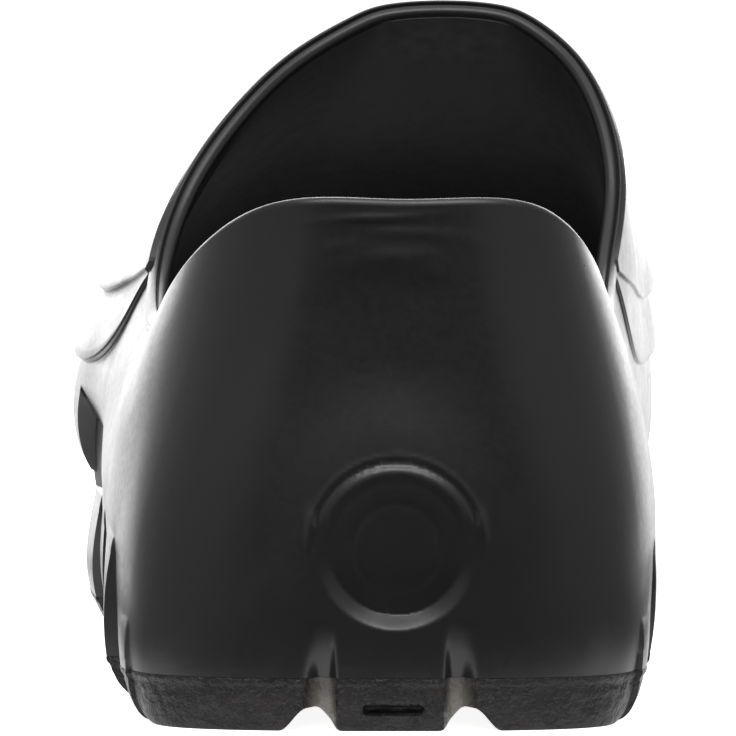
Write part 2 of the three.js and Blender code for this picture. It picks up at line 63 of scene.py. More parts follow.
Part = tuple[np.ndarray, np.ndarray]


def smoothstep(x: np.ndarray | float, low: float, high: float) -> np.ndarray:
    """Cubic ease from 0 at low to 1 at high."""
    f = np.clip((np.asarray(x, float) - low) / np.maximum(np.asarray(high, float) - low, 1e-9), 0.0, 1.0)
    return f * f * (3.0 - 2.0 * f)


def lerp(a: np.ndarray | float, b: np.ndarray | float, f: np.ndarray | float) -> np.ndarray:
    """Straight blend from a to b."""
    return a + (b - a) * f


def bell(distance: np.ndarray, half: float) -> np.ndarray:
    """exp(-(distance / half) ** 2): 1 on a line, fading to both sides."""
    return np.exp(-(distance / half) ** 2)


@dataclass(frozen=True)
class Last:
    """Overall sizes of the shoe, as in the CAD source, and the heights that run along it.

    Attributes:
        length, ball_width: Outside length and width at the ball.
        heel_seat: From the heel's back to the origin.
        back_height, side_height, throat_height: Collar at the heel, beside the ankle and at the throat.
        collar_length, collar_width, collar_setback: Size of the opening, and how far it starts from the back.
        tread: Thickness of the outsole.
        heel_stack, toe_stack: Height of the body's footbed at heel and ball.
        toe_spring, arch_rise: How far toe and arch stand off the floor.
        wall: Thickness of the body's wall at the footbed.
    """

    length: float = 285.0
    ball_width: float = 102.0
    heel_seat: float = 40.0
    back_height: float = 79.6
    side_height: float = 60.5
    throat_height: float = 112.2
    collar_length: float = 117.0
    collar_width: float = 80.5
    collar_setback: float = 8.0
    tread: float = 8.0
    heel_stack: float = 29.0
    toe_stack: float = 15.5
    toe_spring: float = 11.0
    arch_rise: float = 2.5
    wall: float = 4.2

    def from_back(self, y: np.ndarray) -> np.ndarray:
        """Distance from the heel's back."""
        return y + self.heel_seat

    def share(self, y: np.ndarray) -> np.ndarray:
        """Place along the shoe, 0 at the heel's back and 1 at the toe tip."""
        return self.from_back(y) / self.length

    def spring(self, y: np.ndarray) -> np.ndarray:
        """Rise of the toe: toe_spring times the 1.8th power of the way over the last 0.3 of the length."""
        return self.toe_spring * np.clip((self.share(y) - 0.7) / 0.3, 0.0, 1.0) ** 1.8

    def tread_height(self, y: np.ndarray) -> np.ndarray:
        """Height of the tread: flat heel, raised arch, flat ball and toe spring."""
        at = self.share(y)
        arch = smoothstep(at, 0.3, 0.36) * (1.0 - smoothstep(at, 0.43, 0.49))
        return self.arch_rise * arch + self.spring(y)

    def seam_height(self, y: np.ndarray) -> np.ndarray:
        """Height of the seam between body and outsole."""
        return self.tread + self.spring(y)

    def footbed_height(self, y: np.ndarray) -> np.ndarray:
        """Height of the body's footbed, falling from heel to ball."""
        return lerp(self.heel_stack, self.toe_stack, smoothstep(self.share(y), 0.2, 0.62)) + 0.8 * self.spring(y)


LAST = Last()


@dataclass(frozen=True)
class Section:
    """One row of the section table, in shares of the last's sizes.

    Attributes:
        at: Place along the length.
        axis, lateral, medial: Middle line and half widths of the seam, shares of ball_width.
        collar_at: Place of the collar's edge along collar_length.
        collar_axis, collar_half: Middle and half width of the collar, shares of collar_width.
        back, throat: Height over side_height, as shares of what back_height and throat_height have over it.
        lean_out, lean_in: How far the lateral and medial wall leans out, shares of ball_width.
        rise: Height of that lean, share of throat_height.
        slope_out, slope_in: Fall of the skin below the collar on either side, in degrees.
        reach: How far that slope holds, share of the length.
        ledge_out, ledge_in: Overhang of the upper over the side wall, shares of ball_width.
        apron, plug: Where the two steps of the vamp run, shares of the way from seam to collar.
        feather: Height of the line between side wall and upper, share of throat_height.
    """

    at: float
    axis: float
    lateral: float
    medial: float
    collar_at: float
    collar_axis: float
    collar_half: float
    back: float
    throat: float
    lean_out: float
    lean_in: float
    rise: float
    slope_out: float
    slope_in: float
    reach: float
    ledge_out: float
    ledge_in: float
    apron: float
    plug: float
    feather: float


# at, axis, lateral, medial, collar_at, collar_axis, collar_half, back, throat,
# lean_out, lean_in, rise, slope_out, slope_in, reach, ledge_out, ledge_in, apron, plug, feather
SECTIONS: tuple[Section, ...] = (
    Section(0.0, 0.0, 0.0, 0.0, 0.0, 0.037, 0.0, 1.0, 0.0,
            0.012, 0.012, 0.21, 84, 84, 0.084, 0.0, 0.0, 0.45, 0.6, 0.19),
    Section(0.02, 0.0, 0.335, 0.33, 0.04, 0.031, 0.262, 0.955, 0.0,
            0.014, 0.026, 0.21, 83, 79, 0.08, 0.0, 0.0, 0.45, 0.6, 0.195),
    Section(0.104, 0.0, 0.403, 0.395, 0.188, 0.006, 0.412, 0.41, 0.0,
            0.045, 0.045, 0.18, 72, 70, 0.07, 0.003, 0.003, 0.45, 0.6, 0.215),
    Section(0.218, 0.0, 0.417, 0.411, 0.41, -0.008, 0.458, 0.0, 0.0,
            0.07, 0.04, 0.15, 58, 66, 0.062, 0.008, 0.006, 0.45, 0.6, 0.24),
    Section(0.344, 0.0, 0.431, 0.38, 0.645, -0.0056, 0.478, 0.0, 0.126,
            0.09, 0.05, 0.2, 56, 66, 0.075, 0.016, 0.01, 0.45, 0.6, 0.25),
    Section(0.474, 0.0, 0.483, 0.4, 0.774, 0.0348, 0.4646, 0.0, 0.41,
            0.115, 0.05, 0.33, 56, 62, 0.085, 0.032, 0.014, 0.42, 0.55, 0.245),
    Section(0.602, 0.0, 0.515, 0.455, 0.863, 0.0776, 0.387, 0.0, 0.678,
            0.142, 0.045, 0.4, 40, 44, 0.185, 0.046, 0.018, 0.42, 0.55, 0.24),
    Section(0.727, 0.0, 0.494, 0.481, 0.93, 0.103, 0.297, 0.0, 0.841,
            0.09, 0.05, 0.41, 33, 36, 0.22, 0.034, 0.02, 0.4, 0.53, 0.235),
    Section(0.842, 0.006, 0.452, 0.468, 0.97, 0.118, 0.204, 0.0, 0.94,
            0.055, 0.05, 0.44, 32, 33, 0.265, 0.02, 0.018, 0.36, 0.5, 0.245),
    Section(0.94, 0.03, 0.328, 0.325, 0.992, 0.12, 0.1245, 0.0, 0.986,
            0.03, 0.03, 0.46, 34, 34, 0.315, 0.014, 0.014, 0.33, 0.48, 0.265),
    Section(1.0, 0.05, 0.0, 0.0, 1.0, 0.1217, 0.0, 0.0, 1.0,
            0.028, 0.028, 0.5, 35, 35, 0.335, 0.012, 0.012, 0.32, 0.47, 0.275),
)
LAST_ROW = len(SECTIONS) - 1
TURN = 2 * LAST_ROW


class ClosedCurve:
    """Closed cubic through values at whole numbers, with even slope and curvature."""

    def __init__(self, values: Sequence[float]) -> None:
        """Solves the slopes: each neighbour pair and four times the middle match three times the chord."""
        self.values = np.asarray(values, float)
        n = len(self.values)
        matrix = 4.0 * np.eye(n) + np.roll(np.eye(n), 1, 0) + np.roll(np.eye(n), -1, 0)
        chord = 3.0 * (np.roll(self.values, -1) - np.roll(self.values, 1))
        self.slopes = np.linalg.solve(matrix, chord)

    def __call__(self, u: np.ndarray) -> np.ndarray:
        """Value at u by the cubic Hermite formula between the two whole numbers beside it."""
        n = len(self.values)
        whole = np.floor(u).astype(int)
        i, j = whole % n, (whole + 1) % n
        f = u - whole
        g = 1.0 - f
        return (self.values[i] * g * g * (1 + 2 * f) + self.values[j] * f * f * (1 + 2 * g)
                + self.slopes[i] * f * g * g - self.slopes[j] * f * f * g)


def column(pick: Callable[[Section, int], float]) -> ClosedCurve:
    """A table column as a closed curve: lateral side out, medial side back.

    Args:
        pick: Gets the row and the side, -1 lateral and 1 medial, and returns the value.

    Returns:
        The curve over row numbers 0 to TURN.
    """
    rows = [(i, -1) if i <= LAST_ROW else (TURN - i, 1) for i in range(TURN)]
    return ClosedCurve([pick(SECTIONS[i], side) for i, side in rows])


class Form:
    """The body's smooth form at a fixed set of places round the shoe."""

    SEAM_INSET = 7.0
    CURVES: dict[str, ClosedCurve] = {
        "y": column(lambda r, s: r.at * LAST.length - LAST.heel_seat),
        "x": column(lambda r, s: (r.axis + s * (r.lateral if s < 0 else r.medial)) * LAST.ball_width),
        "collar_y": column(lambda r, s: LAST.collar_setback + r.collar_at * LAST.collar_length - LAST.heel_seat),
        "collar_x": column(lambda r, s: (r.collar_axis + s * r.collar_half) * LAST.collar_width),
        "collar_z": column(lambda r, s: LAST.side_height + r.back * (LAST.back_height - LAST.side_height)
                           + r.throat * (LAST.throat_height - LAST.side_height)),
        "lean": column(lambda r, s: (r.lean_out if s < 0 else r.lean_in) * LAST.ball_width),
        "rise": column(lambda r, s: r.rise * LAST.throat_height),
        "slope": column(lambda r, s: np.radians(r.slope_out if s < 0 else r.slope_in)),
        "reach": column(lambda r, s: r.reach * LAST.length),
        "ledge": column(lambda r, s: (r.ledge_out if s < 0 else r.ledge_in) * LAST.ball_width),
        "apron": column(lambda r, s: r.apron),
        "plug": column(lambda r, s: r.plug),
        "feather": column(lambda r, s: r.feather * LAST.throat_height),
    }

    def __init__(self, u: np.ndarray) -> None:
        """Works out the control points of the profile at each u, and a little to both sides of it."""
        self.u = u
        self.row = np.where(u <= LAST_ROW, u, TURN - u)
        self.out = self._outward(u)
        self.plan = np.stack([self.value("x"), self.value("y")], -1)
        self.poles = self._control(u)
        self.poles_after = self._control(u + 1e-3)
        self.poles_before = self._control(u - 1e-3)

    @classmethod
    def _outward(cls, u: np.ndarray) -> np.ndarray:
        """Outward direction of the seam in plan, square to its run."""
        h = 0.01
        dx = cls.CURVES["x"](u + h) - cls.CURVES["x"](u - h)
        dy = cls.CURVES["y"](u + h) - cls.CURVES["y"](u - h)
        size = np.hypot(dx, dy)
        return np.stack([-dy / size, dx / size], -1)

    @classmethod
    def _control(cls, u: np.ndarray) -> np.ndarray:
        """Four control points of the profile: seam, wall, shoulder and collar edge, as a (4, n, 3) array."""
        c = {name: curve(u) for name, curve in cls.CURVES.items()}
        out = cls._outward(u)
        seam = np.stack([c["x"], c["y"], LAST.seam_height(c["y"])], -1)
        wall = seam + np.stack([out[:, 0] * c["lean"], out[:, 1] * c["lean"], c["rise"]], -1)
        edge = np.stack([c["collar_x"], c["collar_y"], c["collar_z"]], -1)
        away = wall[:, :2] - edge[:, :2]
        away /= np.linalg.norm(away, axis=1, keepdims=True)
        fall = np.stack([away[:, 0] * np.cos(c["slope"]), away[:, 1] * np.cos(c["slope"]),
                         -np.sin(c["slope"])], -1)
        shoulder = edge + fall * c["reach"][:, None]
        return np.stack([seam, wall, shoulder, edge])

    @staticmethod
    def _bezier(poles: np.ndarray, t: np.ndarray) -> np.ndarray:
        """Cubic Bezier through four control points."""
        s = 1.0 - t
        weights = np.stack([s ** 3, 3 * s * s * t, 3 * s * t * t, t ** 3])
        return np.einsum("kn,knd->nd", weights, poles)

    def point(self, t: np.ndarray | float) -> np.ndarray:
        """Points on the form, one for each place, at share t of the way from seam to collar."""
        return self._bezier(self.poles, np.broadcast_to(t, self.u.shape))

    def normal(self, t: np.ndarray | float) -> np.ndarray:
        """Outward normals of the form: the cross product of the way up and the way round."""
        h = 1e-3
        mid = np.clip(np.broadcast_to(t, self.u.shape), h, 1 - h)
        around = self._bezier(self.poles_after, mid) - self._bezier(self.poles_before, mid)
        up = self._bezier(self.poles, mid + h) - self._bezier(self.poles, mid - h)
        n = np.cross(up, around)
        return n / np.linalg.norm(n, axis=1, keepdims=True)

    def inner(self, t: np.ndarray | float, wall: float) -> np.ndarray:
        """Points a wall's thickness under the form."""
        return self.point(t) - self.normal(t) * wall

    def share_where(self, is_below: Callable[[np.ndarray], np.ndarray]) -> np.ndarray:
        """Share of the way up where a test turns false, found by halving."""
        low, high = np.zeros_like(self.u), np.ones_like(self.u)
        for _ in range(30):
            middle = 0.5 * (low + high)
            below = is_below(middle)
            low, high = np.where(below, middle, low), np.where(below, high, middle)
        return 0.5 * (low + high)

    def seam_inset(self, below: float) -> np.ndarray:
        """A ring inside the seam, clear of the grooves and ribs, at a depth below the seam."""
        ring = self.point(0.0)
        ring[:, :2] -= self.out * self.SEAM_INSET
        ring[:, 2] -= below
        return ring

    def value(self, name: str) -> np.ndarray:
        """A table column at each place."""
        return self.CURVES[name](self.u)


@dataclass(frozen=True)
class Spacing:
    """Where a mesh's upright lines stand: close at the heel's back, wider elsewhere.

    Attributes:
        coarse, fine: Spacing along the sides and at the heel's back.
        fine_to, coarse_from: Distances from the middle of the back between which the spacing changes.
        edge_half: Half distance of the pair of lines at a sharp edge.
    """

    coarse: float
    fine: float = 0.42
    fine_to: float = 17.0
    coarse_from: float = 26.0
    edge_half: float = 0.15

    def form(self, edges: Sequence[float]) -> Form:
        """The form on these lines, with a pair of lines at each extra edge.

        Args:
            edges: Places along the shoe, as shares of its length, that need a sharp edge.

        Returns:
            The form, lateral side out and medial side back, each medial line facing a lateral one.
        """
        u = np.linspace(0.0, LAST_ROW, 4001)
        x, y = Form.CURVES["x"](u), Form.CURVES["y"](u)
        length = np.concatenate([[0.0], np.cumsum(np.hypot(np.diff(x), np.diff(y)))])
        spacing = lerp(self.fine, self.coarse, smoothstep(length, self.fine_to, self.coarse_from))
        count = np.concatenate([[0.0], np.cumsum(np.diff(length) / spacing[1:])])
        total = int(np.ceil(count[-1]))
        lines = np.interp(np.linspace(0.0, count[-1], total + 1), count, u)
        at = LAST.share(y)
        for place in edges:
            face = np.interp(place, at, u)
            half = self.edge_half * np.interp(face, u[1:], np.diff(u) / np.diff(length))
            lines = lines[np.abs(lines - face) > 2.5 * half]
            lines = np.sort(np.concatenate([lines, [face - half, face + half]]))
        return Form(np.concatenate([lines, TURN - lines[-2:0:-1]]))


@dataclass(frozen=True)
class Rib:
    """A side rib: its rear face (share of the length), tip (share of the feather height) and two depths."""

    at: float
    tip: float
    outer: float
    inner: float


@dataclass(frozen=True)
class SideWall:
    """The ribs of the side wall, and the hollow behind the lateral ball.

    Attributes:
        ribs: From the heel on, with depths on the lateral and medial side as shares of depth.
        end: Where the last rib ends, share of the length.
        scoop_at: Where the hollow ends at a face, share of the length.
        scoop_low, scoop_high: Heights between which it lies.
        scoop_depth, scoop_run: Depth at its face, and how far back it fades.
    """

    ribs: tuple[Rib, ...] = (
        Rib(0.047, 0.7, 0.22, 0.28),
        Rib(0.116, 1.1, 0.95, 0.35),
        Rib(0.195, 1.12, 0.6, 0.3),
        Rib(0.335, 0.95, 0.8, 0.6),
        Rib(0.47, 0.95, 0.6, 0.6),
        Rib(0.62, 0.92, 0.5, 0.5),
    )
    end: float = 0.88
    depth: float = 3.0
    scoop_at: float = 0.535
    scoop_low: float = 26.0
    scoop_high: float = 45.0
    scoop_depth: float = 4.6
    scoop_run: float = 32.0

    def edges(self) -> list[float]:
        """Places of the ribs' rear faces."""
        return [rib.at for rib in self.ribs]

    def outset(self, plan: np.ndarray, z: np.ndarray, feather: np.ndarray) -> np.ndarray:
        """How far a rib stands out: full at its rear face, less with the square of the way on, fading upwards."""
        at = LAST.share(plan[:, 1])
        outset = np.zeros_like(at)
        base = LAST.seam_height(plan[:, 1])
        for rib, end in zip(self.ribs, self.edges()[1:] + [self.end]):
            depth = np.where(plan[:, 0] < 0, rib.outer, rib.inner) * self.depth
            along = np.clip((at - rib.at) / (end - rib.at), 0.0, 1.0)
            up = np.clip((z - base) / (rib.tip * feather - base), 0.0, 1.0)
            here = (at >= rib.at) & ((at < end) | (end == self.end))
            outset = np.where(here, depth * (1 - along ** 2) * (1 - up) ** 0.7, outset)
        return outset

    def scoop(self, plan: np.ndarray, z: np.ndarray) -> np.ndarray:
        """Depth of the hollow: a bell backwards from its face, times a power of a sine over its height."""
        at = LAST.share(plan[:, 1])
        behind = np.where(at < self.scoop_at, bell((self.scoop_at - at) * LAST.length, self.scoop_run), 0.0)
        height = np.clip((z - self.scoop_low) / (self.scoop_high - self.scoop_low), 0.0, 1.0)
        hollow = self.scoop_depth * behind * np.sin(np.pi * height ** 0.8) ** 1.2
        return np.where(plan[:, 0] < 0, hollow, 0.0)


@dataclass(frozen=True)
class HeelBack:
    """Relief on the back of the heel: trough, ripples, two grooves and the round seat.

    Attributes:
        middle: The heel's middle line, to the medial side.
        trough_depth: Of the soft trough.
        ripples: x, half length, z, half height, relief, and how far the ends bend up.
        pillar_half: Half width of the pillar between the grooves.
        groove_top, groove_reach: Where the grooves start, and how deep they are at the floor.
        seat_x, seat_z, seat_radius: The round seat's centre and outer edge.
        disc_radius, disc_depth, disc_lean, disc_bend: The disc in it, and its depth over its height.
        snap: How near to a circle a point moves onto it.
    """

    middle: float = 0.7
    trough_depth: float = 1.75
    ripples: tuple[tuple[float, ...], ...] = (
        (-2.0, 7.5, 77.7, 0.75, 0.2, 0.35), (2.5, 8.0, 75.4, 0.9, 0.15, -0.5), (0.6, 7.0, 71.6, 1.9, 0.34, 0.5),
        (-5.5, 4.5, 73.6, 1.0, 0.12, 0.8), (6.0, 4.0, 69.3, 1.4, 0.12, 0.4),
    )
    pillar_half: float = 8.3
    groove_top: float = 17.0
    groove_reach: float = 5.6
    seat_x: float = 1.6
    seat_z: float = 27.9
    seat_radius: float = 12.7
    disc_radius: float = 10.2
    disc_depth: float = 0.15
    disc_lean: float = 0.07
    disc_bend: float = 0.0105
    snap: float = 0.2

    def trough(self, p: np.ndarray) -> np.ndarray:
        """Depth of the soft trough: it widens and deepens downwards, and a low hill fills it at the seat.

        From its edge inwards the depth nears the full one as 1 - exp(-distance / run), so the edge is a faint
        line at the top, and it softens towards the floor.
        """
        x, z = p[:, 0], p[:, 2]
        drop = np.clip((74.0 - z) / 45.5, 0.0, 1.2)
        half = 12.8 + 9.0 * drop ** 1.4
        soft = 0.35 + 2.0 * drop
        inside = soft * np.logaddexp(0.0, (half - np.abs(x - self.middle)) / soft)
        deep = smoothstep(80.0 - z, -12.0, 34.0)
        across = deep * (1.0 - np.exp(-inside / (3.0 + 3.0 * deep)))
        low = smoothstep(z, 16.0, 32.0)
        behind = 1.0 - smoothstep(LAST.from_back(p[:, 1]), 12.0, 25.0)
        hill = 0.8 - 0.8 * smoothstep(np.hypot(x - self.seat_x, z - self.seat_z), 11.5, 29.0)
        return self.trough_depth * across * low * behind * (1.0 - hill)

    def ripple(self, p: np.ndarray) -> np.ndarray:
        """Height of the soft ripples under the collar's middle, each a bell across a bent line."""
        wave = np.zeros(len(p))
        for x, half, z, width, height, bend in self.ripples:
            away = (p[:, 0] - x) / half
            line = z + bend * away * np.abs(away)
            wave += height * np.exp(-away ** 2 - ((p[:, 2] - line) / width) ** 2)
        return np.where(LAST.from_back(p[:, 1]) < 25.0, wave, 0.0)

    def groove(self, x: np.ndarray, z: np.ndarray) -> np.ndarray:
        """Depth of the two grooves: nothing at groove_top, and the 1.3rd power of the way down below it.

        The wall beside the middle pillar is steep, and the one beside each lug is a soft edge.
        """
        depth = self.groove_reach * np.clip((self.groove_top - z) / self.groove_top, 0.0, 1.0) ** 1.3
        out = np.abs(x - self.middle) - self.pillar_half
        pillar = smoothstep(out, -0.3, 1.0)
        lug = 1.0 - smoothstep(out, 2.2, 5.4)
        return depth * pillar * lug

    def seat(self, x: np.ndarray, z: np.ndarray) -> np.ndarray:
        """The round seat: a plain disc, more upright than the heel, so its top stands out and its foot lies deep.

        The disc's depth grows downwards, faster in its lower half. Outside its rim the depth runs back to
        nothing, on a short slope at the top and a long one at the bottom, and both slopes face up. Points close
        to one of the two circles move onto it, which keeps the edges round.

        Args:
            x, z: Places on the heel's back, in mm.

        Returns:
            An (n, 3) array: how far each point moves along x, into the heel and along z.
        """
        dx, dz = x - self.seat_x, z - self.seat_z
        r = np.hypot(dx, dz)
        rise = dz / np.maximum(r, 3.0)
        up = smoothstep(rise, -0.2, 0.75)
        rim = lerp(self.disc_radius, self.disc_radius + 1.3, up)
        circles = np.stack([rim, np.full_like(r, self.seat_radius)]) - r
        nearest = np.take_along_axis(circles, np.abs(circles).argmin(0)[None], 0)[0]
        pull = np.where((np.abs(nearest) < self.snap) & (r > 5.0), nearest, 0.0) / np.maximum(r, 3.0)
        r = r * (1.0 + pull)
        depth = self.disc_depth - self.disc_lean * dz + self.disc_bend * np.minimum(dz, 0.0) ** 2
        outside = np.clip((self.seat_radius - r) / (self.seat_radius - rim), 0.0, 1.0) ** lerp(1.35, 1.0, up)
        rings = 0.12 * bell(r - 6.6, 0.4) + 0.1 * bell(r - 9.9, 0.4) * up
        past = r - self.seat_radius
        line = 0.16 * bell(past - 0.15, 0.3) - 0.14 * bell(past - 0.9, 0.4)
        side = np.hypot((np.abs(dx) - self.seat_radius - 0.3) / 0.6, (dz - 3.6) / 1.9)
        relief = depth * outside + rings + line * smoothstep(rise, -0.3, 0.5) - 0.35 * bell(side, 1.0)
        return np.stack([dx * pull, relief, dz * pull], -1)


SIDE_WALL = SideWall()
HEEL_BACK = HeelBack()
SHARP_ANGLE = 62.0


def weld(name: str, parts: Sequence[Part], finishes: Sequence[np.ndarray] = ()) -> bpy.types.Object:
    """One closed, smooth-shaded object from grids that share their borders.

    Args:
        name: Name of the object.
        parts: Points in mm, and faces as rows of four point numbers.
        finishes: For each part, the number of the material on each face. Left out, it is 0 all over.

    Returns:
        The linked object, with doubled points merged and normals outward.
    """
    points, faces, start = [], [], 0
    for grid, quads in parts:
        points.append(grid)
        faces.append(quads + start)
        start += len(grid)
    mesh = bpy.data.meshes.new(name)
    mesh.from_pydata((np.concatenate(points) * MM).tolist(), [], np.concatenate(faces).tolist())
    if finishes:
        mesh.polygons.foreach_set("material_index", np.concatenate(finishes).astype(np.int32))
    work = bmesh.new()
    work.from_mesh(mesh)
    bmesh.ops.remove_doubles(work, verts=work.verts, dist=2e-6)
    bmesh.ops.dissolve_degenerate(work, dist=1e-7, edges=work.edges)
    bmesh.ops.recalc_face_normals(work, faces=work.faces)
    work.to_mesh(mesh)
    work.free()
    mesh.polygons.foreach_set("use_smooth", np.ones(len(mesh.polygons), bool))
    mesh.set_sharp_from_angle(angle=np.radians(SHARP_ANGLE))
    piece = bpy.data.objects.new(name, mesh)
    bpy.context.scene.collection.objects.link(piece)
    return piece


def grid_faces(rows: int, columns: int, closed: bool) -> np.ndarray:
    """Quads of a grid of points, closed round its columns if asked."""
    j, i = np.meshgrid(np.arange(rows - 1), np.arange(columns if closed else columns - 1), indexing="ij")
    k = (i + 1) % columns
    quads = np.stack([j * columns + i, j * columns + k, (j + 1) * columns + k, (j + 1) * columns + i], -1)
    return quads.reshape(-1, 4)


def rings_part(rings: np.ndarray) -> Part:
    """Rings of points, (rows, places, 3), as a part for weld."""
    rows, places, _ = rings.shape
    return rings.reshape(-1, 3), grid_faces(rows, places, closed=True)


def across_part(ring: np.ndarray, columns: int) -> Part:
    """The face across a ring, from each lateral point straight to the medial one that faces it."""
    n = len(ring)
    toe = n // 2
    lateral = ring[: toe + 1]
    medial = ring[(n - np.arange(toe + 1)) % n]
    f = np.linspace(0.0, 1.0, columns + 1)[None, :, None]
    grid = lerp(lateral[:, None, :], medial[:, None, :], f)
    return grid.reshape(-1, 3), grid_faces(toe + 1, columns + 1, closed=False)


@dataclass
class Body:
    """The foam moulding: outer skin, rim, inner skin and footbed as one closed mesh.

    Attributes:
        rim_wall: Wall at the collar.
        bead_step, apron_step, lip_step: Steps beside the ankle, on the vamp, and where its layers start.
        step_run, ledge_run: Height of a step, and share of the way up over which the overhang fades.
        crease_depth, crease_half: The moulded line between side wall and upper.
        lip_row, vamp_row: Row numbers between which the bead turns into the vamp's steps.
        bead_apron, bead_plug: Shares of the way up at which the two steps run in the bead.
        medial_lag: How many rows later that happens on the medial side.
    """

    rim_wall: float = 3.5
    bead_step: float = 0.45
    apron_step: float = 1.5
    lip_step: float = 0.8
    step_run: float = 0.35
    ledge_run: float = 0.07
    crease_depth: float = 1.3
    crease_half: float = 1.5
    lip_row: float = 4.1
    vamp_row: float = 5.4
    bead_apron: float = 0.955
    bead_plug: float = 0.972
    medial_lag: float = 1.2

    WALL_ROWS: ClassVar[int] = 40
    SKIN_ROWS: ClassVar[int] = 88
    APRON_ROWS: ClassVar[int] = 9
    PLUG_ROWS: ClassVar[int] = 16
    INNER_ROWS: ClassVar[int] = 18
    # Across the crease and how deep it is there, in shares of its half width and depth
    CREASE: ClassVar[tuple[tuple[float, float], ...]] = (
        (-0.6, 0.35), (-0.25, 0.85), (0.0, 1.0), (0.25, 0.85), (0.6, 0.35),
    )
    STEP: ClassVar[tuple[tuple[float, float], ...]] = ((-0.5, 0.1), (0.0, 0.5), (0.5, 0.9))
    # Across the collar's edge, over it, and how deep the groove beside the lip is there, in shares of rim_wall.
    # The groove runs round the vamp's side of the opening only.
    RIM: ClassVar[tuple[tuple[float, float, float], ...]] = (
        (0.03, 0.12, 0.0), (0.08, 0.22, 0.0), (0.15, 0.29, 0.0), (0.22, 0.31, 0.03), (0.27, 0.32, 0.13),
        (0.31, 0.325, 0.175), (0.36, 0.33, 0.13), (0.42, 0.33, 0.05), (0.55, 0.32, 0.0), (0.7, 0.31, 0.0),
        (0.82, 0.27, 0.0), (0.91, 0.18, 0.0), (0.97, 0.09, 0.0), (1.0, 0.0, 0.0),
    )

    def __post_init__(self) -> None:
        """Fixes the places round the shoe and the shares at which the features run."""
        lip = LAST.share(Form.CURVES["y"](np.array([self.lip_row])))[0]
        self.form = form = Spacing(2.0).form(SIDE_WALL.edges() + [lip, SIDE_WALL.scoop_at])
        seam_z = form.point(0.0)[:, 2]
        self.feather_z = form.value("feather")
        feather_z = self.feather_z + seam_z - LAST.tread
        self.feather = form.share_where(lambda t: form.point(t)[:, 2] < feather_z)
        self.apron = lerp(self.bead_apron, form.value("apron"), self.border(0.55, 1.3))
        self.plug = lerp(self.bead_plug, form.value("plug"), self.border(0.85, 1.2))
        self.per_mm = 1.0 / (form.value("collar_z") - seam_z)
        self.crease = smoothstep(form.row, 3.8, 5.0)
        medial = form.u > LAST_ROW
        vamp = smoothstep(form.row - self.medial_lag * medial, self.lip_row, self.vamp_row)
        self.side = smoothstep(form.row, 2.4, 3.8)
        self.step = lerp(self.bead_step * self.side, self.apron_step, vamp)
        self.lip = self.lip_step * (form.row > self.lip_row) * (1 - vamp) * (1.0 - 0.7 * medial)
        self.ledge = form.value("ledge")

    def border(self, run: float, power: float) -> np.ndarray:
        """How far a vamp step has left the collar's bead: 1 - exp(-(rows past the lip / run) ** power)."""
        past = np.maximum(self.form.row - self.lip_row, 0.0)
        return 1.0 - np.exp(-(past / run) ** power)

    def skin(self, t: np.ndarray, level: float, crease: float = 0.0) -> np.ndarray:
        """One ring of the outer skin: the smooth form, its layers along the normal, and the heel's relief.

        Args:
            t: Share of the way from seam to collar, for each place.
            level: How many of the vamp's steps are passed, 0 to 2.
            crease: Share of the crease's depth.

        Returns:
            An (n, 3) array in mm.
        """
        form = self.form
        p = form.point(t)
        under = np.where(t < self.feather, smoothstep(t / self.feather, 0.0, 1.0),
                         np.exp((self.feather - t) / self.ledge_run))
        relief = ((level - 2 * t * t) * self.step + level / 2 * self.lip
                  - crease * self.crease * self.crease_depth
                  - self.ledge * under - HEEL_BACK.trough(p) + HEEL_BACK.ripple(p))
        q = p + form.normal(t) * relief[:, None]
        outset = SIDE_WALL.outset(form.plan, p[:, 2], self.feather_z) - SIDE_WALL.scoop(form.plan, p[:, 2])
        q[:, :2] += form.out * outset[:, None]
        rear = (form.row < 1.2) & (form.out[:, 1] < -0.5)
        moved = HEEL_BACK.seat(q[:, 0], q[:, 2])
        moved[:, 1] += HEEL_BACK.groove(q[:, 0], q[:, 2])
        q += np.where(rear[:, None], moved, 0.0)
        return q

    def outer_rings(self) -> list[np.ndarray]:
        """Rings from the seam to the collar, closer at the crease, the round seat and the steps."""
        mm, run = self.per_mm, self.step_run * self.per_mm
        below, above = self.feather - self.crease_half * mm, self.feather + self.crease_half * mm
        rings = [self.skin(lerp(0.0, below, f), 0.0) for f in np.linspace(0.0, 1.0, self.WALL_ROWS)]
        rings += [self.skin(self.feather + side * self.crease_half * mm, 0.0, depth)
                  for side, depth in self.CREASE]
        rings += [self.skin(lerp(above, self.apron - run, f), 0.0)
                  for f in np.linspace(0.0, 1.0, self.SKIN_ROWS) ** 1.2]
        rings += [self.skin(self.apron + f * run, level) for f, level in self.STEP]
        rings += [self.skin(lerp(self.apron + run, self.plug - run, f), 1.0)
                  for f in np.linspace(0.0, 1.0, self.APRON_ROWS)]
        rings += [self.skin(self.plug + f * run, 1.0 + level) for f, level in self.STEP]
        rings += [self.skin(lerp(self.plug + run, np.ones_like(run), f), 2.0)
                  for f in np.linspace(0.0, 1.0, self.PLUG_ROWS)]
        return rings

    def rim_rings(self) -> list[np.ndarray]:
        """Rings over the collar's edge, by the RIM table."""
        one = np.ones_like(self.per_mm)
        up = self.form.point(one) - self.form.point(one - 0.02)
        up /= np.linalg.norm(up, axis=1, keepdims=True)
        edge, normal = self.form.point(one), self.form.normal(one)
        pushed = HEEL_BACK.trough(edge) - HEEL_BACK.ripple(edge)
        return [edge - normal * (across * self.rim_wall + (1 - across) * pushed)[:, None]
                + up * ((over - groove * self.side) * self.rim_wall)[:, None]
                for across, over, groove in self.RIM]

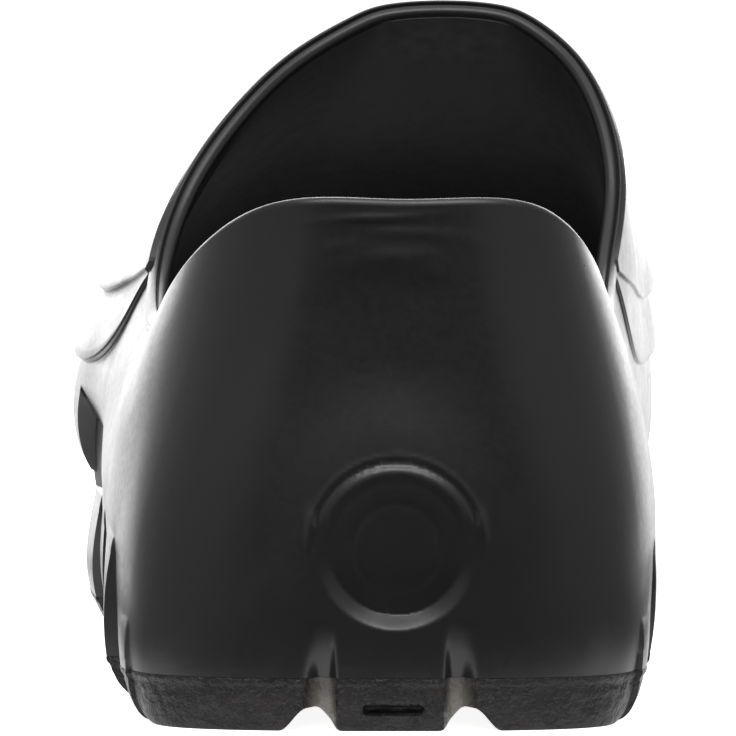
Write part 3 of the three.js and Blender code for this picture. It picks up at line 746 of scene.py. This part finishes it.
    def inner_rings(self) -> list[np.ndarray]:
        """Rings down the inside to the footbed."""
        def is_below(t: np.ndarray) -> np.ndarray:
            p = self.form.inner(t, LAST.wall)
            return p[:, 2] < LAST.footbed_height(p[:, 1])

        foot = self.form.share_where(is_below)
        rings = []
        for f in np.linspace(0.0, 1.0, self.INNER_ROWS + 1)[1:]:
            wall = float(lerp(self.rim_wall, LAST.wall, smoothstep(f, 0.0, 0.5)))
            rings.append(self.form.inner(lerp(1.0, foot, 1 - (1 - f) ** 1.3), wall))
        rings[-1][:, 2] = LAST.footbed_height(rings[-1][:, 1])
        return rings

    def build(self) -> bpy.types.Object:
        """The welded body, with the second material on its inner skin and footbed."""
        outside = [self.form.seam_inset(0.0)] + self.outer_rings() + self.rim_rings()
        rings = np.stack(outside + self.inner_rings())
        skin, under, bed = rings_part(rings), across_part(rings[0], 1), across_part(rings[-1], 1)
        inside = np.repeat(np.arange(len(rings) - 1) >= len(outside) - 1, rings.shape[1])
        finishes = [inside, np.zeros(len(under[1])), np.ones(len(bed[1]))]
        return weld("clog_body", [skin, under, bed], finishes)


@dataclass
class Outsole:
    """The rubber tread: side that curls under, lugs, channels and the heel's grooves.

    Attributes:
        seam_gap: Between outsole and body.
        edge_round, heel_round: Rounding of the edge along the sides and at the back.
        heel_flare: How far the back edge stands out behind the seam.
        tread_depth, channel_width: The channels between the lugs.
        heel_channel_depth, heel_column, heel_front: The heel's two channels, between them, and where they end.
        slot_width, slot_height: The slot in the pillar.
        cross: Places of the cross channels, shares of the length.
        long: Start, end and place across of the forefoot's channels, as shares.
    """

    seam_gap: float = 0.05
    edge_round: float = 9.5
    heel_round: float = 0.5
    heel_flare: float = 0.7
    tread_depth: float = 3.6
    channel_width: float = 4.6
    heel_channel_depth: float = 3.4
    heel_column: float = 24.4
    heel_front: float = 0.33
    slot_width: float = 9.6
    slot_height: float = 3.2
    cross: tuple[float, ...] = (0.075, 0.215, 0.285, 0.5, 0.575, 0.65, 0.725, 0.8, 0.872)
    long: tuple[tuple[float, float, float], ...] = ((0.47, 0.88, -0.2), (0.47, 0.88, 0.2))

    # Inset in shares of the edge's rounding, and height in shares of the thickness
    SIDE: ClassVar[tuple[tuple[float, float], ...]] = (
        (1.5, 0.0), (1.25, 0.0), (1.0, 0.0), (0.86, 0.015), (0.72, 0.05), (0.6, 0.1), (0.48, 0.17),
        (0.385, 0.25), (0.34, 0.295), (0.3, 0.34), (0.26, 0.39), (0.225, 0.44), (0.19, 0.495), (0.165, 0.55),
        (0.12, 0.66), (0.08, 0.74), (0.06, 0.8), (0.04, 0.86), (0.02, 0.9), (0.01, 0.94), (0.0, 0.97), (0.0, 1.0),
    )
    COLUMNS: ClassVar[int] = 84

    def __post_init__(self) -> None:
        """Places round the shoe, with edges at the cross channels."""
        half = self.channel_width / 2 / LAST.length
        edges = [at + side * half for at in self.cross for side in (-1, 1)]
        self.form = form = Spacing(1.6).form(SIDE_WALL.edges() + edges)
        y = form.plan[:, 1]
        self.outset = SIDE_WALL.outset(form.plan, LAST.seam_height(y), form.value("feather"))
        self.round = lerp(self.heel_round, self.edge_round, smoothstep(LAST.from_back(y), 0.5, 30.0))

    def channel_depth(self, x: np.ndarray, y: np.ndarray) -> np.ndarray:
        """How high the channels cut over the tread: tread_depth in a channel, 0 on a lug, with drafted walls."""
        at = LAST.share(y)
        half = self.channel_width / 2

        def cut(distance: np.ndarray) -> np.ndarray:
            return 1.0 - smoothstep(distance, half - 0.7, half + 0.4)

        depth = np.zeros_like(x)
        for place in self.cross:
            depth = np.maximum(depth, cut(np.abs(at - place) * LAST.length))
        for side in (-1, 1):
            away = np.abs(x - HEEL_BACK.middle - side * self.heel_column / 2)
            line = (1.0 - smoothstep(away, 0.6, 4.8)) * self.heel_channel_depth / self.tread_depth
            depth = np.maximum(depth, line * (at < self.heel_front))
        for start, end, across in self.long:
            depth = np.maximum(depth, cut(np.abs(x - across * LAST.ball_width)) * (at > start) * (at < end))
        return self.tread_depth * depth * (1.0 - smoothstep(at, 0.86, 0.9))

    def carve(self, p: np.ndarray) -> np.ndarray:
        """Lifts points that lie in a channel to its roof, and pushes in the heel's grooves and slot."""
        q = p.copy()
        roof = LAST.tread_height(q[:, 1]) + self.channel_depth(q[:, 0], q[:, 1])
        q[:, 2] = np.maximum(q[:, 2], roof)
        rear = 1.0 - smoothstep(LAST.from_back(q[:, 1]), 3.0, 8.0)
        half = self.slot_width / 2
        slot_x = 1.0 - smoothstep(np.abs(q[:, 0] - HEEL_BACK.middle - 0.4), half - 0.7, half)
        slot_z = 1.0 - smoothstep(np.abs(q[:, 2] - self.slot_height), 0.35, 0.85)
        q[:, 1] += rear * np.maximum(HEEL_BACK.groove(p[:, 0], p[:, 2]), 1.7 * slot_x * slot_z)
        return q

    def ring(self, inset: float, share: float) -> np.ndarray:
        """One ring of the side, before carving: a fine lip near the seam, and the flare at the back."""
        plan = self.form.plan
        lip = 0.12 * bell(share - 0.93, 0.05) - 0.15 * bell(share - 0.8, 0.06)
        back = 1.0 - smoothstep(LAST.from_back(plan[:, 1]), 2.0, 12.0)
        flare = self.heel_flare * max(1.0 - share, 0.0) ** 1.5 * back
        xy = plan + self.form.out * (self.outset + lip + flare - inset * self.round)[:, None]
        z = lerp(LAST.tread_height(xy[:, 1]), LAST.seam_height(plan[:, 1]) - self.seam_gap, share)
        return np.concatenate([xy, z[:, None]], 1)

    def build(self) -> bpy.types.Object:
        """The welded outsole, with a point attribute that paints a reflection of the bright floor into the heel's
        grooves.
        """
        side = [self.ring(inset, share) for inset, share in self.SIDE]
        rings = np.stack([self.carve(r) for r in side] + [self.form.seam_inset(self.seam_gap)])
        low, faces = across_part(side[0], self.COLUMNS)
        piece = weld("clog_outsole", [rings_part(rings), (self.carve(low), faces), across_part(rings[-1], 1)])
        points = np.empty(len(piece.data.vertices) * 3)
        piece.data.vertices.foreach_get("co", points)
        x, y, z = points.reshape(-1, 3).T / MM
        # Painted reflection: pale in the heel's grooves and paler towards the floor, standing in for the bright
        # floor seen in them.
        rear = 1.0 - smoothstep(LAST.from_back(y), 8.0, 14.0)
        dust = piece.data.attributes.new("painted_groove_reflection", "FLOAT", "POINT")
        dust.data.foreach_set("value", rear * np.clip(HEEL_BACK.groove(x, z) / 4.0, 0.0, 1.0) ** 1.5)
        return piece


@dataclass
class Insole:
    """The loose footbed: cupped edge, soft heel cup and a low arch."""

    thickness: float = 4.5
    edge: float = 2.5
    gap: float = 0.3

    # Inset in mm, and height in shares of the edge's height
    RINGS: ClassVar[tuple[tuple[float, float], ...]] = (
        (8.0, 0.0), (2.0, 0.0), (0.9, 0.12), (0.9, 0.5), (0.9, 0.85), (1.1, 0.96), (1.6, 1.0), (2.3, 0.98),
        (3.3, 0.9), (4.6, 0.79), (6.2, 0.71), (8.0, 0.665), (10.0, 0.645),
    )
    COLUMNS: ClassVar[int] = 24

    def __post_init__(self) -> None:
        """Uses places nearly as fine as the body's."""
        self.form = Spacing(2.2).form([])

    def ring(self, inset: float, share: float) -> np.ndarray:
        """One ring at a share of the edge's height, set in from the body's inner skin."""
        form = self.form
        lift = lerp(self.gap, self.thickness + self.edge, share)

        def is_below(t: np.ndarray) -> np.ndarray:
            p = form.inner(t, LAST.wall)
            return p[:, 2] < LAST.footbed_height(p[:, 1]) + lift

        t = form.share_where(is_below)
        p, n = form.inner(t, LAST.wall), form.normal(t)[:, :2]
        xy = p[:, :2] - n / np.linalg.norm(n, axis=1, keepdims=True) * inset
        return np.concatenate([xy, (LAST.footbed_height(xy[:, 1]) + lift)[:, None]], 1)

    def build(self) -> bpy.types.Object:
        """The welded insole."""
        rings = np.stack([self.ring(inset, share) for inset, share in self.RINGS])
        parts = [rings_part(rings), across_part(rings[0], 1), across_part(rings[-1], self.COLUMNS)]
        return weld("clog_insole", parts)


def linear(code: str) -> tuple[float, float, float, float]:
    """An sRGB hex colour as linear red, green, blue and alpha."""
    channels = [int(code[i:i + 2], 16) / 255.0 for i in (1, 3, 5)]
    r, g, b = (c / 12.92 if c <= 0.04045 else ((c + 0.055) / 1.055) ** 2.4 for c in channels)
    return r, g, b, 1.0


class Tone(Enum):
    """The shoe's blacks, the dust on it and painted light (a paler inside, a floor reflection in the heel's
    grooves), as sRGB codes.
    """

    FOAM = "#1a1a1b"
    FOAM_DEEP = "#161617"
    # Painted light: the inside of the same foam, paler than the skin so its shaded hollow reads lighter.
    INSIDE_PAINTED_LIGHT = "#2b2b2d"
    INSIDE_PAINTED_LIGHT_DEEP = "#252527"
    RUBBER = "#161515"
    # Painted reflection of the bright floor in the heel's grooves.
    RUBBER_DUSTY = "#242120"
    PAINTED_GROOVE_REFLECTION = "#77736e"
    INSOLE = "#1c1c1e"
    INSOLE_WORN = "#242427"
    DUST = "#8f8c88"


class Surface:
    """A procedural material, whose patterns are measured in mm of the object's own space."""

    def __init__(self, name: str) -> None:
        """Starts from an empty tree with a Principled shader and the object's coordinates."""
        self.material = bpy.data.materials.new(name)
        self.material.use_nodes = True
        self.tree = self.material.node_tree
        self.tree.nodes.clear()
        self.shader = self.add("ShaderNodeBsdfPrincipled")
        self.output = self.add("ShaderNodeOutputMaterial", links={"Surface": self.shader.outputs["BSDF"]})
        self.place = self.add("ShaderNodeTexCoord").outputs["Object"]

    def add(self, kind: str, links: dict | None = None, values: dict | None = None, **settings) -> bpy.types.Node:
        """Adds a node with its settings, socket values and links.

        Args:
            kind: Blender's node type.
            links: Input socket (name or number) to the output that feeds it.
            values: Input socket (name or number) to its value.
            **settings: Properties of the node.

        Returns:
            The node.
        """
        node = self.tree.nodes.new(kind)
        for key, value in settings.items():
            setattr(node, key, value)
        for key, value in (values or {}).items():
            node.inputs[key].default_value = value
        for key, source in (links or {}).items():
            self.tree.links.new(source, node.inputs[key])
        return node

    def drive(self, **sockets: bpy.types.NodeSocket) -> None:
        """Links outputs to the shader's inputs, whose names are written with _ for a space."""
        for name, source in sockets.items():
            self.tree.links.new(source, self.shader.inputs[name.replace("_", " ")])

    def noise(self, size: float, detail: float = 3.0, rough: float = 0.5) -> bpy.types.NodeSocket:
        """Noise with features of a size in mm, as a factor from 0 to 1."""
        node = self.add("ShaderNodeTexNoise", {"Vector": self.place},
                        {"Scale": 1.0 / (size * MM), "Detail": detail, "Roughness": rough})
        return node.outputs["Fac"]

    def ramp(self, source: bpy.types.NodeSocket, low: float, high: float, a: float, b: float,
             ) -> bpy.types.NodeSocket:
        """Maps a factor from low..high to a..b, held at the ends."""
        node = self.add("ShaderNodeMapRange", {"Value": source},
                        {"From Min": low, "From Max": high, "To Min": a, "To Max": b})
        return node.outputs["Result"]

    def math(self, kind: str, a: bpy.types.NodeSocket, b: bpy.types.NodeSocket | float) -> bpy.types.NodeSocket:
        """One arithmetic step on a socket and a socket or number."""
        if isinstance(b, (int, float)):
            return self.add("ShaderNodeMath", {0: a}, {1: float(b)}, operation=kind).outputs[0]
        return self.add("ShaderNodeMath", {0: a, 1: b}, operation=kind).outputs[0]

    def mix(self, factor: bpy.types.NodeSocket, a: bpy.types.NodeSocket | Tone, b: Tone) -> bpy.types.NodeSocket:
        """Blends a colour, from a socket or a tone, into a tone."""
        links, values = {"Factor": factor}, {7: linear(b.value)}
        if isinstance(a, Tone):
            values[6] = linear(a.value)
        else:
            links[6] = a
        return self.add("ShaderNodeMix", links, values, data_type="RGBA").outputs[2]

    def bump(self, height: bpy.types.NodeSocket, depth: float, under: bpy.types.NodeSocket | None = None,
             ) -> bpy.types.NodeSocket:
        """A bump of a depth in mm, on top of another."""
        links = {"Height": height}
        if under is not None:
            links["Normal"] = under
        return self.add("ShaderNodeBump", links, {"Strength": 1.0, "Distance": depth * MM}).outputs["Normal"]

    def specks(self, cell: float, radius: float, keep: float) -> bpy.types.NodeSocket:
        """Sparse round specks, 0.8 inside a speck.

        Args:
            cell: Spacing of the specks in mm.
            radius: Of a speck, in mm.
            keep: Share of the cells that hold one.

        Returns:
            The factor.
        """
        dots = self.add("ShaderNodeTexVoronoi", {"Vector": self.place}, {"Scale": 1.0 / (cell * MM)})
        near = self.ramp(dots.outputs["Distance"], radius / cell * 0.7, radius / cell * 1.3, 1.0, 0.0)
        chosen = self.add("ShaderNodeSeparateColor", {"Color": dots.outputs["Color"]}).outputs["Red"]
        return self.math("MULTIPLY", self.math("MULTIPLY", near, self.math("LESS_THAN", chosen, keep)), 0.8)


@dataclass(frozen=True)
class FoamSkin:
    """Moulded foam: smooth satin skin with faint waves, fine pores, smudges and a few specks of dust."""

    shade_size: float = 34.0
    smudge_size: float = 18.0
    wave_size: float = 13.0
    wave_depth: float = 0.10
    pore_size: float = 0.9
    pore_depth: float = 0.012

    def build(self) -> bpy.types.Material:
        """The material."""
        s = Surface("moulded_foam_skin")
        tone = s.mix(s.ramp(s.noise(self.shade_size), 0.35, 0.7, 0.0, 1.0), Tone.FOAM, Tone.FOAM_DEEP)
        smudge = s.ramp(s.noise(self.smudge_size, 5.0, 0.6), 0.3, 0.75, 0.3, 0.4)
        fine = s.ramp(s.noise(1.1, 2.0), 0.3, 0.7, -0.03, 0.03)
        waves = s.bump(s.noise(self.wave_size, 1.0), self.wave_depth)
        s.drive(Base_Color=s.mix(s.specks(11.0, 0.2, 0.3), tone, Tone.DUST),
                Roughness=s.math("ADD", smudge, fine),
                Normal=s.bump(s.noise(self.pore_size, 2.0), self.pore_depth, waves))
        return s.material


@dataclass(frozen=True)
class FoamInside:
    """The inside of the foam body: matt and even, with fine pores, painted a little paler than the skin to stand
    in for light in its shaded hollow.
    """

    shade_size: float = 30.0
    pore_size: float = 0.8
    pore_depth: float = 0.03

    def build(self) -> bpy.types.Material:
        """The material."""
        s = Surface("moulded_foam_inside")
        # Paler than the skin: painted brightness standing in for light in the shaded inside.
        tone = s.mix(s.ramp(s.noise(self.shade_size), 0.35, 0.7, 0.0, 1.0), Tone.INSIDE_PAINTED_LIGHT, Tone.INSIDE_PAINTED_LIGHT_DEEP)
        s.drive(Base_Color=s.mix(s.specks(14.0, 0.22, 0.25), tone, Tone.DUST),
                Roughness=s.ramp(s.noise(3.0, 3.0), 0.3, 0.7, 0.6, 0.75),
                Normal=s.bump(s.noise(self.pore_size, 3.0), self.pore_depth))
        return s.material


@dataclass(frozen=True)
class TreadRubber:
    """Tread rubber: matt, with a coarse crumpled grain, browned a little by floor dust, with a painted reflection
    of the bright floor in the heel's grooves.
    """

    specular: float = 0.3
    dust_size: float = 3.2
    crumple_size: float = 3.4
    crumple_depth: float = 1.3
    grain_size: float = 0.6
    grain_depth: float = 0.15

    def build(self) -> bpy.types.Material:
        """The material."""
        s = Surface("tread_rubber")
        dusty = s.ramp(s.noise(self.dust_size, 5.0, 0.65), 0.4, 0.72, 0.0, 0.8)
        tone = s.mix(dusty, Tone.RUBBER, Tone.RUBBER_DUSTY)
        # Painted reflection: mixes a pale grey into the heel's grooves, paler towards the floor.
        dust = s.add("ShaderNodeAttribute", attribute_name="painted_groove_reflection").outputs["Fac"]
        s.shader.inputs["Specular IOR Level"].default_value = self.specular
        crumple = s.bump(s.noise(self.crumple_size, 4.0, 0.6), self.crumple_depth)
        s.drive(Base_Color=s.mix(dust, tone, Tone.PAINTED_GROOVE_REFLECTION),
                Roughness=s.ramp(s.noise(1.6, 3.0), 0.3, 0.7, 0.36, 0.5),
                Normal=s.bump(s.noise(self.grain_size, 3.0), self.grain_depth, crumple))
        return s.material


@dataclass(frozen=True)
class InsoleFoam:
    """Insole foam: matt, with a pebbled top rubbed a little paler where the foot rests."""

    worn_size: float = 26.0
    pebble_size: float = 2.4
    pebble_depth: float = 0.3

    def build(self) -> bpy.types.Material:
        """The material."""
        s = Surface("insole_foam")
        pebbles = s.add("ShaderNodeTexVoronoi", {"Vector": s.place}, {"Scale": 1.0 / (self.pebble_size * MM)},
                        feature="SMOOTH_F1").outputs["Distance"]
        worn = s.ramp(s.noise(self.worn_size), 0.4, 0.65, 0.0, 1.0)
        s.drive(Base_Color=s.mix(worn, Tone.INSOLE, Tone.INSOLE_WORN),
                Roughness=s.ramp(s.noise(2.0), 0.3, 0.7, 0.75, 0.9),
                Normal=s.bump(pebbles, -self.pebble_depth))
        return s.material


@dataclass(frozen=True)
class Panel:
    """A rectangular softbox: place and aim in metres, size in metres, and power in watts."""

    name: str
    place: tuple[float, float, float]
    aim: tuple[float, float, float]
    size: tuple[float, float]
    watts: float


@dataclass(frozen=True)
class Studio:
    """Floor, surround, softboxes, dark card and camera, in metres.

    Attributes:
        panels: The softboxes.
        frame_pixels, focal_pixels: Width and focal length of the photograph's frame, in its pixels.
        axis_column, horizon_row: Where the camera's level line of sight falls in that frame.
        eye: The camera's place.
        surround, floor_glow, card_glow: Strength of the white surround, the light table and the card's sides.
        card_radius, card_turn: Size of the bent card, and the angle to either side that it covers.
    """

    panels: tuple[Panel, ...] = (
        Panel("panel_back", (0.0, 1.6, 0.75), (0.0, 0.0, 0.1), (2.4, 1.5), 34.0),
        Panel("panel_top", (0.0, -0.62, 1.0), (0.0, 0.0, 0.05), (1.0, 0.4), 7.5),
        Panel("panel_inside", (0.0, 0.085, 0.05), (0.0, 0.135, 0.075), (0.04, 0.03), 0.0115),
    )
    frame_pixels: int = 736
    focal_pixels: float = 5622.0
    axis_column: float = 386.0
    horizon_row: float = 72.0
    eye: tuple[float, float, float] = (0.0, -0.89, 0.1)
    surround: float = 1.15
    floor_glow: float = 0.9
    card_glow: float = 0.42
    card_radius: float = 1.5
    card_turn: float = 140.0

    WHITE: ClassVar[tuple[float, float, float, float]] = (1.0, 1.0, 1.0, 1.0)

    @staticmethod
    def sheet(name: str, points: np.ndarray, faces: np.ndarray) -> bpy.types.Object:
        """A smooth open sheet of the stage, from points in metres."""
        mesh = bpy.data.meshes.new(name)
        mesh.from_pydata(points.tolist(), [], faces.tolist())
        mesh.polygons.foreach_set("use_smooth", np.ones(len(mesh.polygons), bool))
        piece = bpy.data.objects.new(name, mesh)
        bpy.context.scene.collection.objects.link(piece)
        return piece

    def glowing(self, name: str, colour: str, roughness: float) -> Surface:
        """A plain sheet's finish that gives off some white light."""
        s = Surface(name)
        s.shader.inputs["Base Color"].default_value = linear(colour)
        s.shader.inputs["Roughness"].default_value = roughness
        s.shader.inputs["Emission Color"].default_value = self.WHITE
        return s

    def floor(self) -> None:
        """A plain white light table."""
        x, y = (g.ravel() for g in np.meshgrid(np.linspace(-6.0, 6.0, 3), np.linspace(-6.0, 6.0, 3)))
        floor = self.sheet("floor", np.stack([x, y, np.zeros(9)], -1), grid_faces(3, 3, closed=False))
        s = self.glowing("white_table", "#f2f2f2", 0.9)
        s.shader.inputs["Emission Strength"].default_value = self.floor_glow
        floor.data.materials.append(s.material)

    def card(self) -> None:
        """A tall card, bent round the back of the camera: dark in the middle, dim grey at the sides and top.

        A dark cloth lies on the table in front of the shoe and beside it, out of the picture.
        """
        rows, columns = 23, 57
        turn = np.tile(np.linspace(-self.card_turn, self.card_turn, columns), rows)
        z = np.repeat(np.linspace(0.02, 2.2, rows), columns)
        x, y = self.card_radius * np.sin(np.radians(turn)), -self.card_radius * np.cos(np.radians(turn))
        side = smoothstep(np.abs(turn), 14.0, 32.0)
        glow = 1.1 * np.maximum(side, 0.85 * smoothstep(z, 0.42, 0.62))
        across, along = np.meshgrid([-1.3, -0.085, 0.08, 1.3], [-1.4, -0.056, 0.25])
        cloth = np.column_stack([across.ravel(), along.ravel(), np.full(12, 0.002)])
        covers = np.array([(0, 1, 5, 4), (1, 2, 6, 5), (2, 3, 7, 6), (4, 5, 9, 8), (6, 7, 11, 10)]) + len(x)
        points = np.concatenate([np.stack([x, y, z], -1), cloth])
        card = self.sheet("dark_card", points, np.concatenate([grid_faces(rows, columns, closed=False), covers]))
        card.visible_camera = False
        level = card.data.attributes.new("glow", "FLOAT", "POINT")
        level.data.foreach_set("value", np.concatenate([glow, np.zeros(12)]))
        s = self.glowing("grey_cloth", "#303032", 1.0)
        fac = s.add("ShaderNodeAttribute", attribute_name="glow").outputs["Fac"]
        s.drive(Emission_Strength=s.math("MULTIPLY", fac, self.card_glow))
        card.data.materials.append(s.material)

    def lights(self) -> None:
        """Softboxes and an even white surround."""
        for panel in self.panels:
            lamp = bpy.data.lights.new(panel.name, "AREA")
            lamp.shape = "RECTANGLE"
            lamp.size, lamp.size_y = panel.size
            lamp.energy = panel.watts
            light = bpy.data.objects.new(panel.name, lamp)
            light.location = panel.place
            aim = Vector(panel.aim) - Vector(panel.place)
            light.rotation_euler = aim.to_track_quat("-Z", "Y").to_euler()
            light.visible_camera = False
            bpy.context.scene.collection.objects.link(light)
        world = bpy.data.worlds.new("surround")
        world.use_nodes = True
        world.node_tree.nodes["Background"].inputs["Color"].default_value = self.WHITE
        world.node_tree.nodes["Background"].inputs["Strength"].default_value = self.surround
        bpy.context.scene.world = world
        bpy.context.scene.view_settings.view_transform = "Standard"

    def camera(self) -> None:
        """A camera behind the heel, turned so that its level line of sight falls where the photograph has it."""
        centre = self.frame_pixels / 2
        aim = Vector(((centre - self.axis_column) / self.focal_pixels, 1.0,
                      (self.horizon_row - centre) / self.focal_pixels))
        lens = bpy.data.cameras.new("camera")
        lens.sensor_width = 36.0
        lens.lens = self.focal_pixels / self.frame_pixels * lens.sensor_width
        lens.clip_start, lens.clip_end = 0.01, 50.0
        camera = bpy.data.objects.new("camera", lens)
        camera.location = self.eye
        camera.rotation_euler = aim.to_track_quat("-Z", "Y").to_euler()
        bpy.context.scene.collection.objects.link(camera)
        bpy.context.scene.camera = camera

    def build(self) -> None:
        """Sets the whole stage."""
        self.floor()
        self.card()
        self.lights()
        self.camera()


def place(piece: bpy.types.Object, node: str, slot: str, *materials: bpy.types.Material) -> None:
    """Gives a finished piece its materials, and ties it to the frame in place of a CAD node."""
    for material in materials:
        piece.data.materials.append(material)
    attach(piece, "root")
    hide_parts(node)
    LOG.info("%s: %d faces, for %s", piece.name, len(piece.data.polygons), node)


def main() -> None:
    """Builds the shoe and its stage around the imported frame."""
    logging.basicConfig(level=logging.INFO, format="%(name)s: %(message)s")
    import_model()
    place(Body().build(), "upper", "upper_foam", FoamSkin().build(), FoamInside().build())
    place(Outsole().build(), "outsole", "outsole_rubber", TreadRubber().build())
    place(Insole().build(), "insole", "insole_foam", InsoleFoam().build())
    Studio().build()


if __name__ == "__main__":
    main()
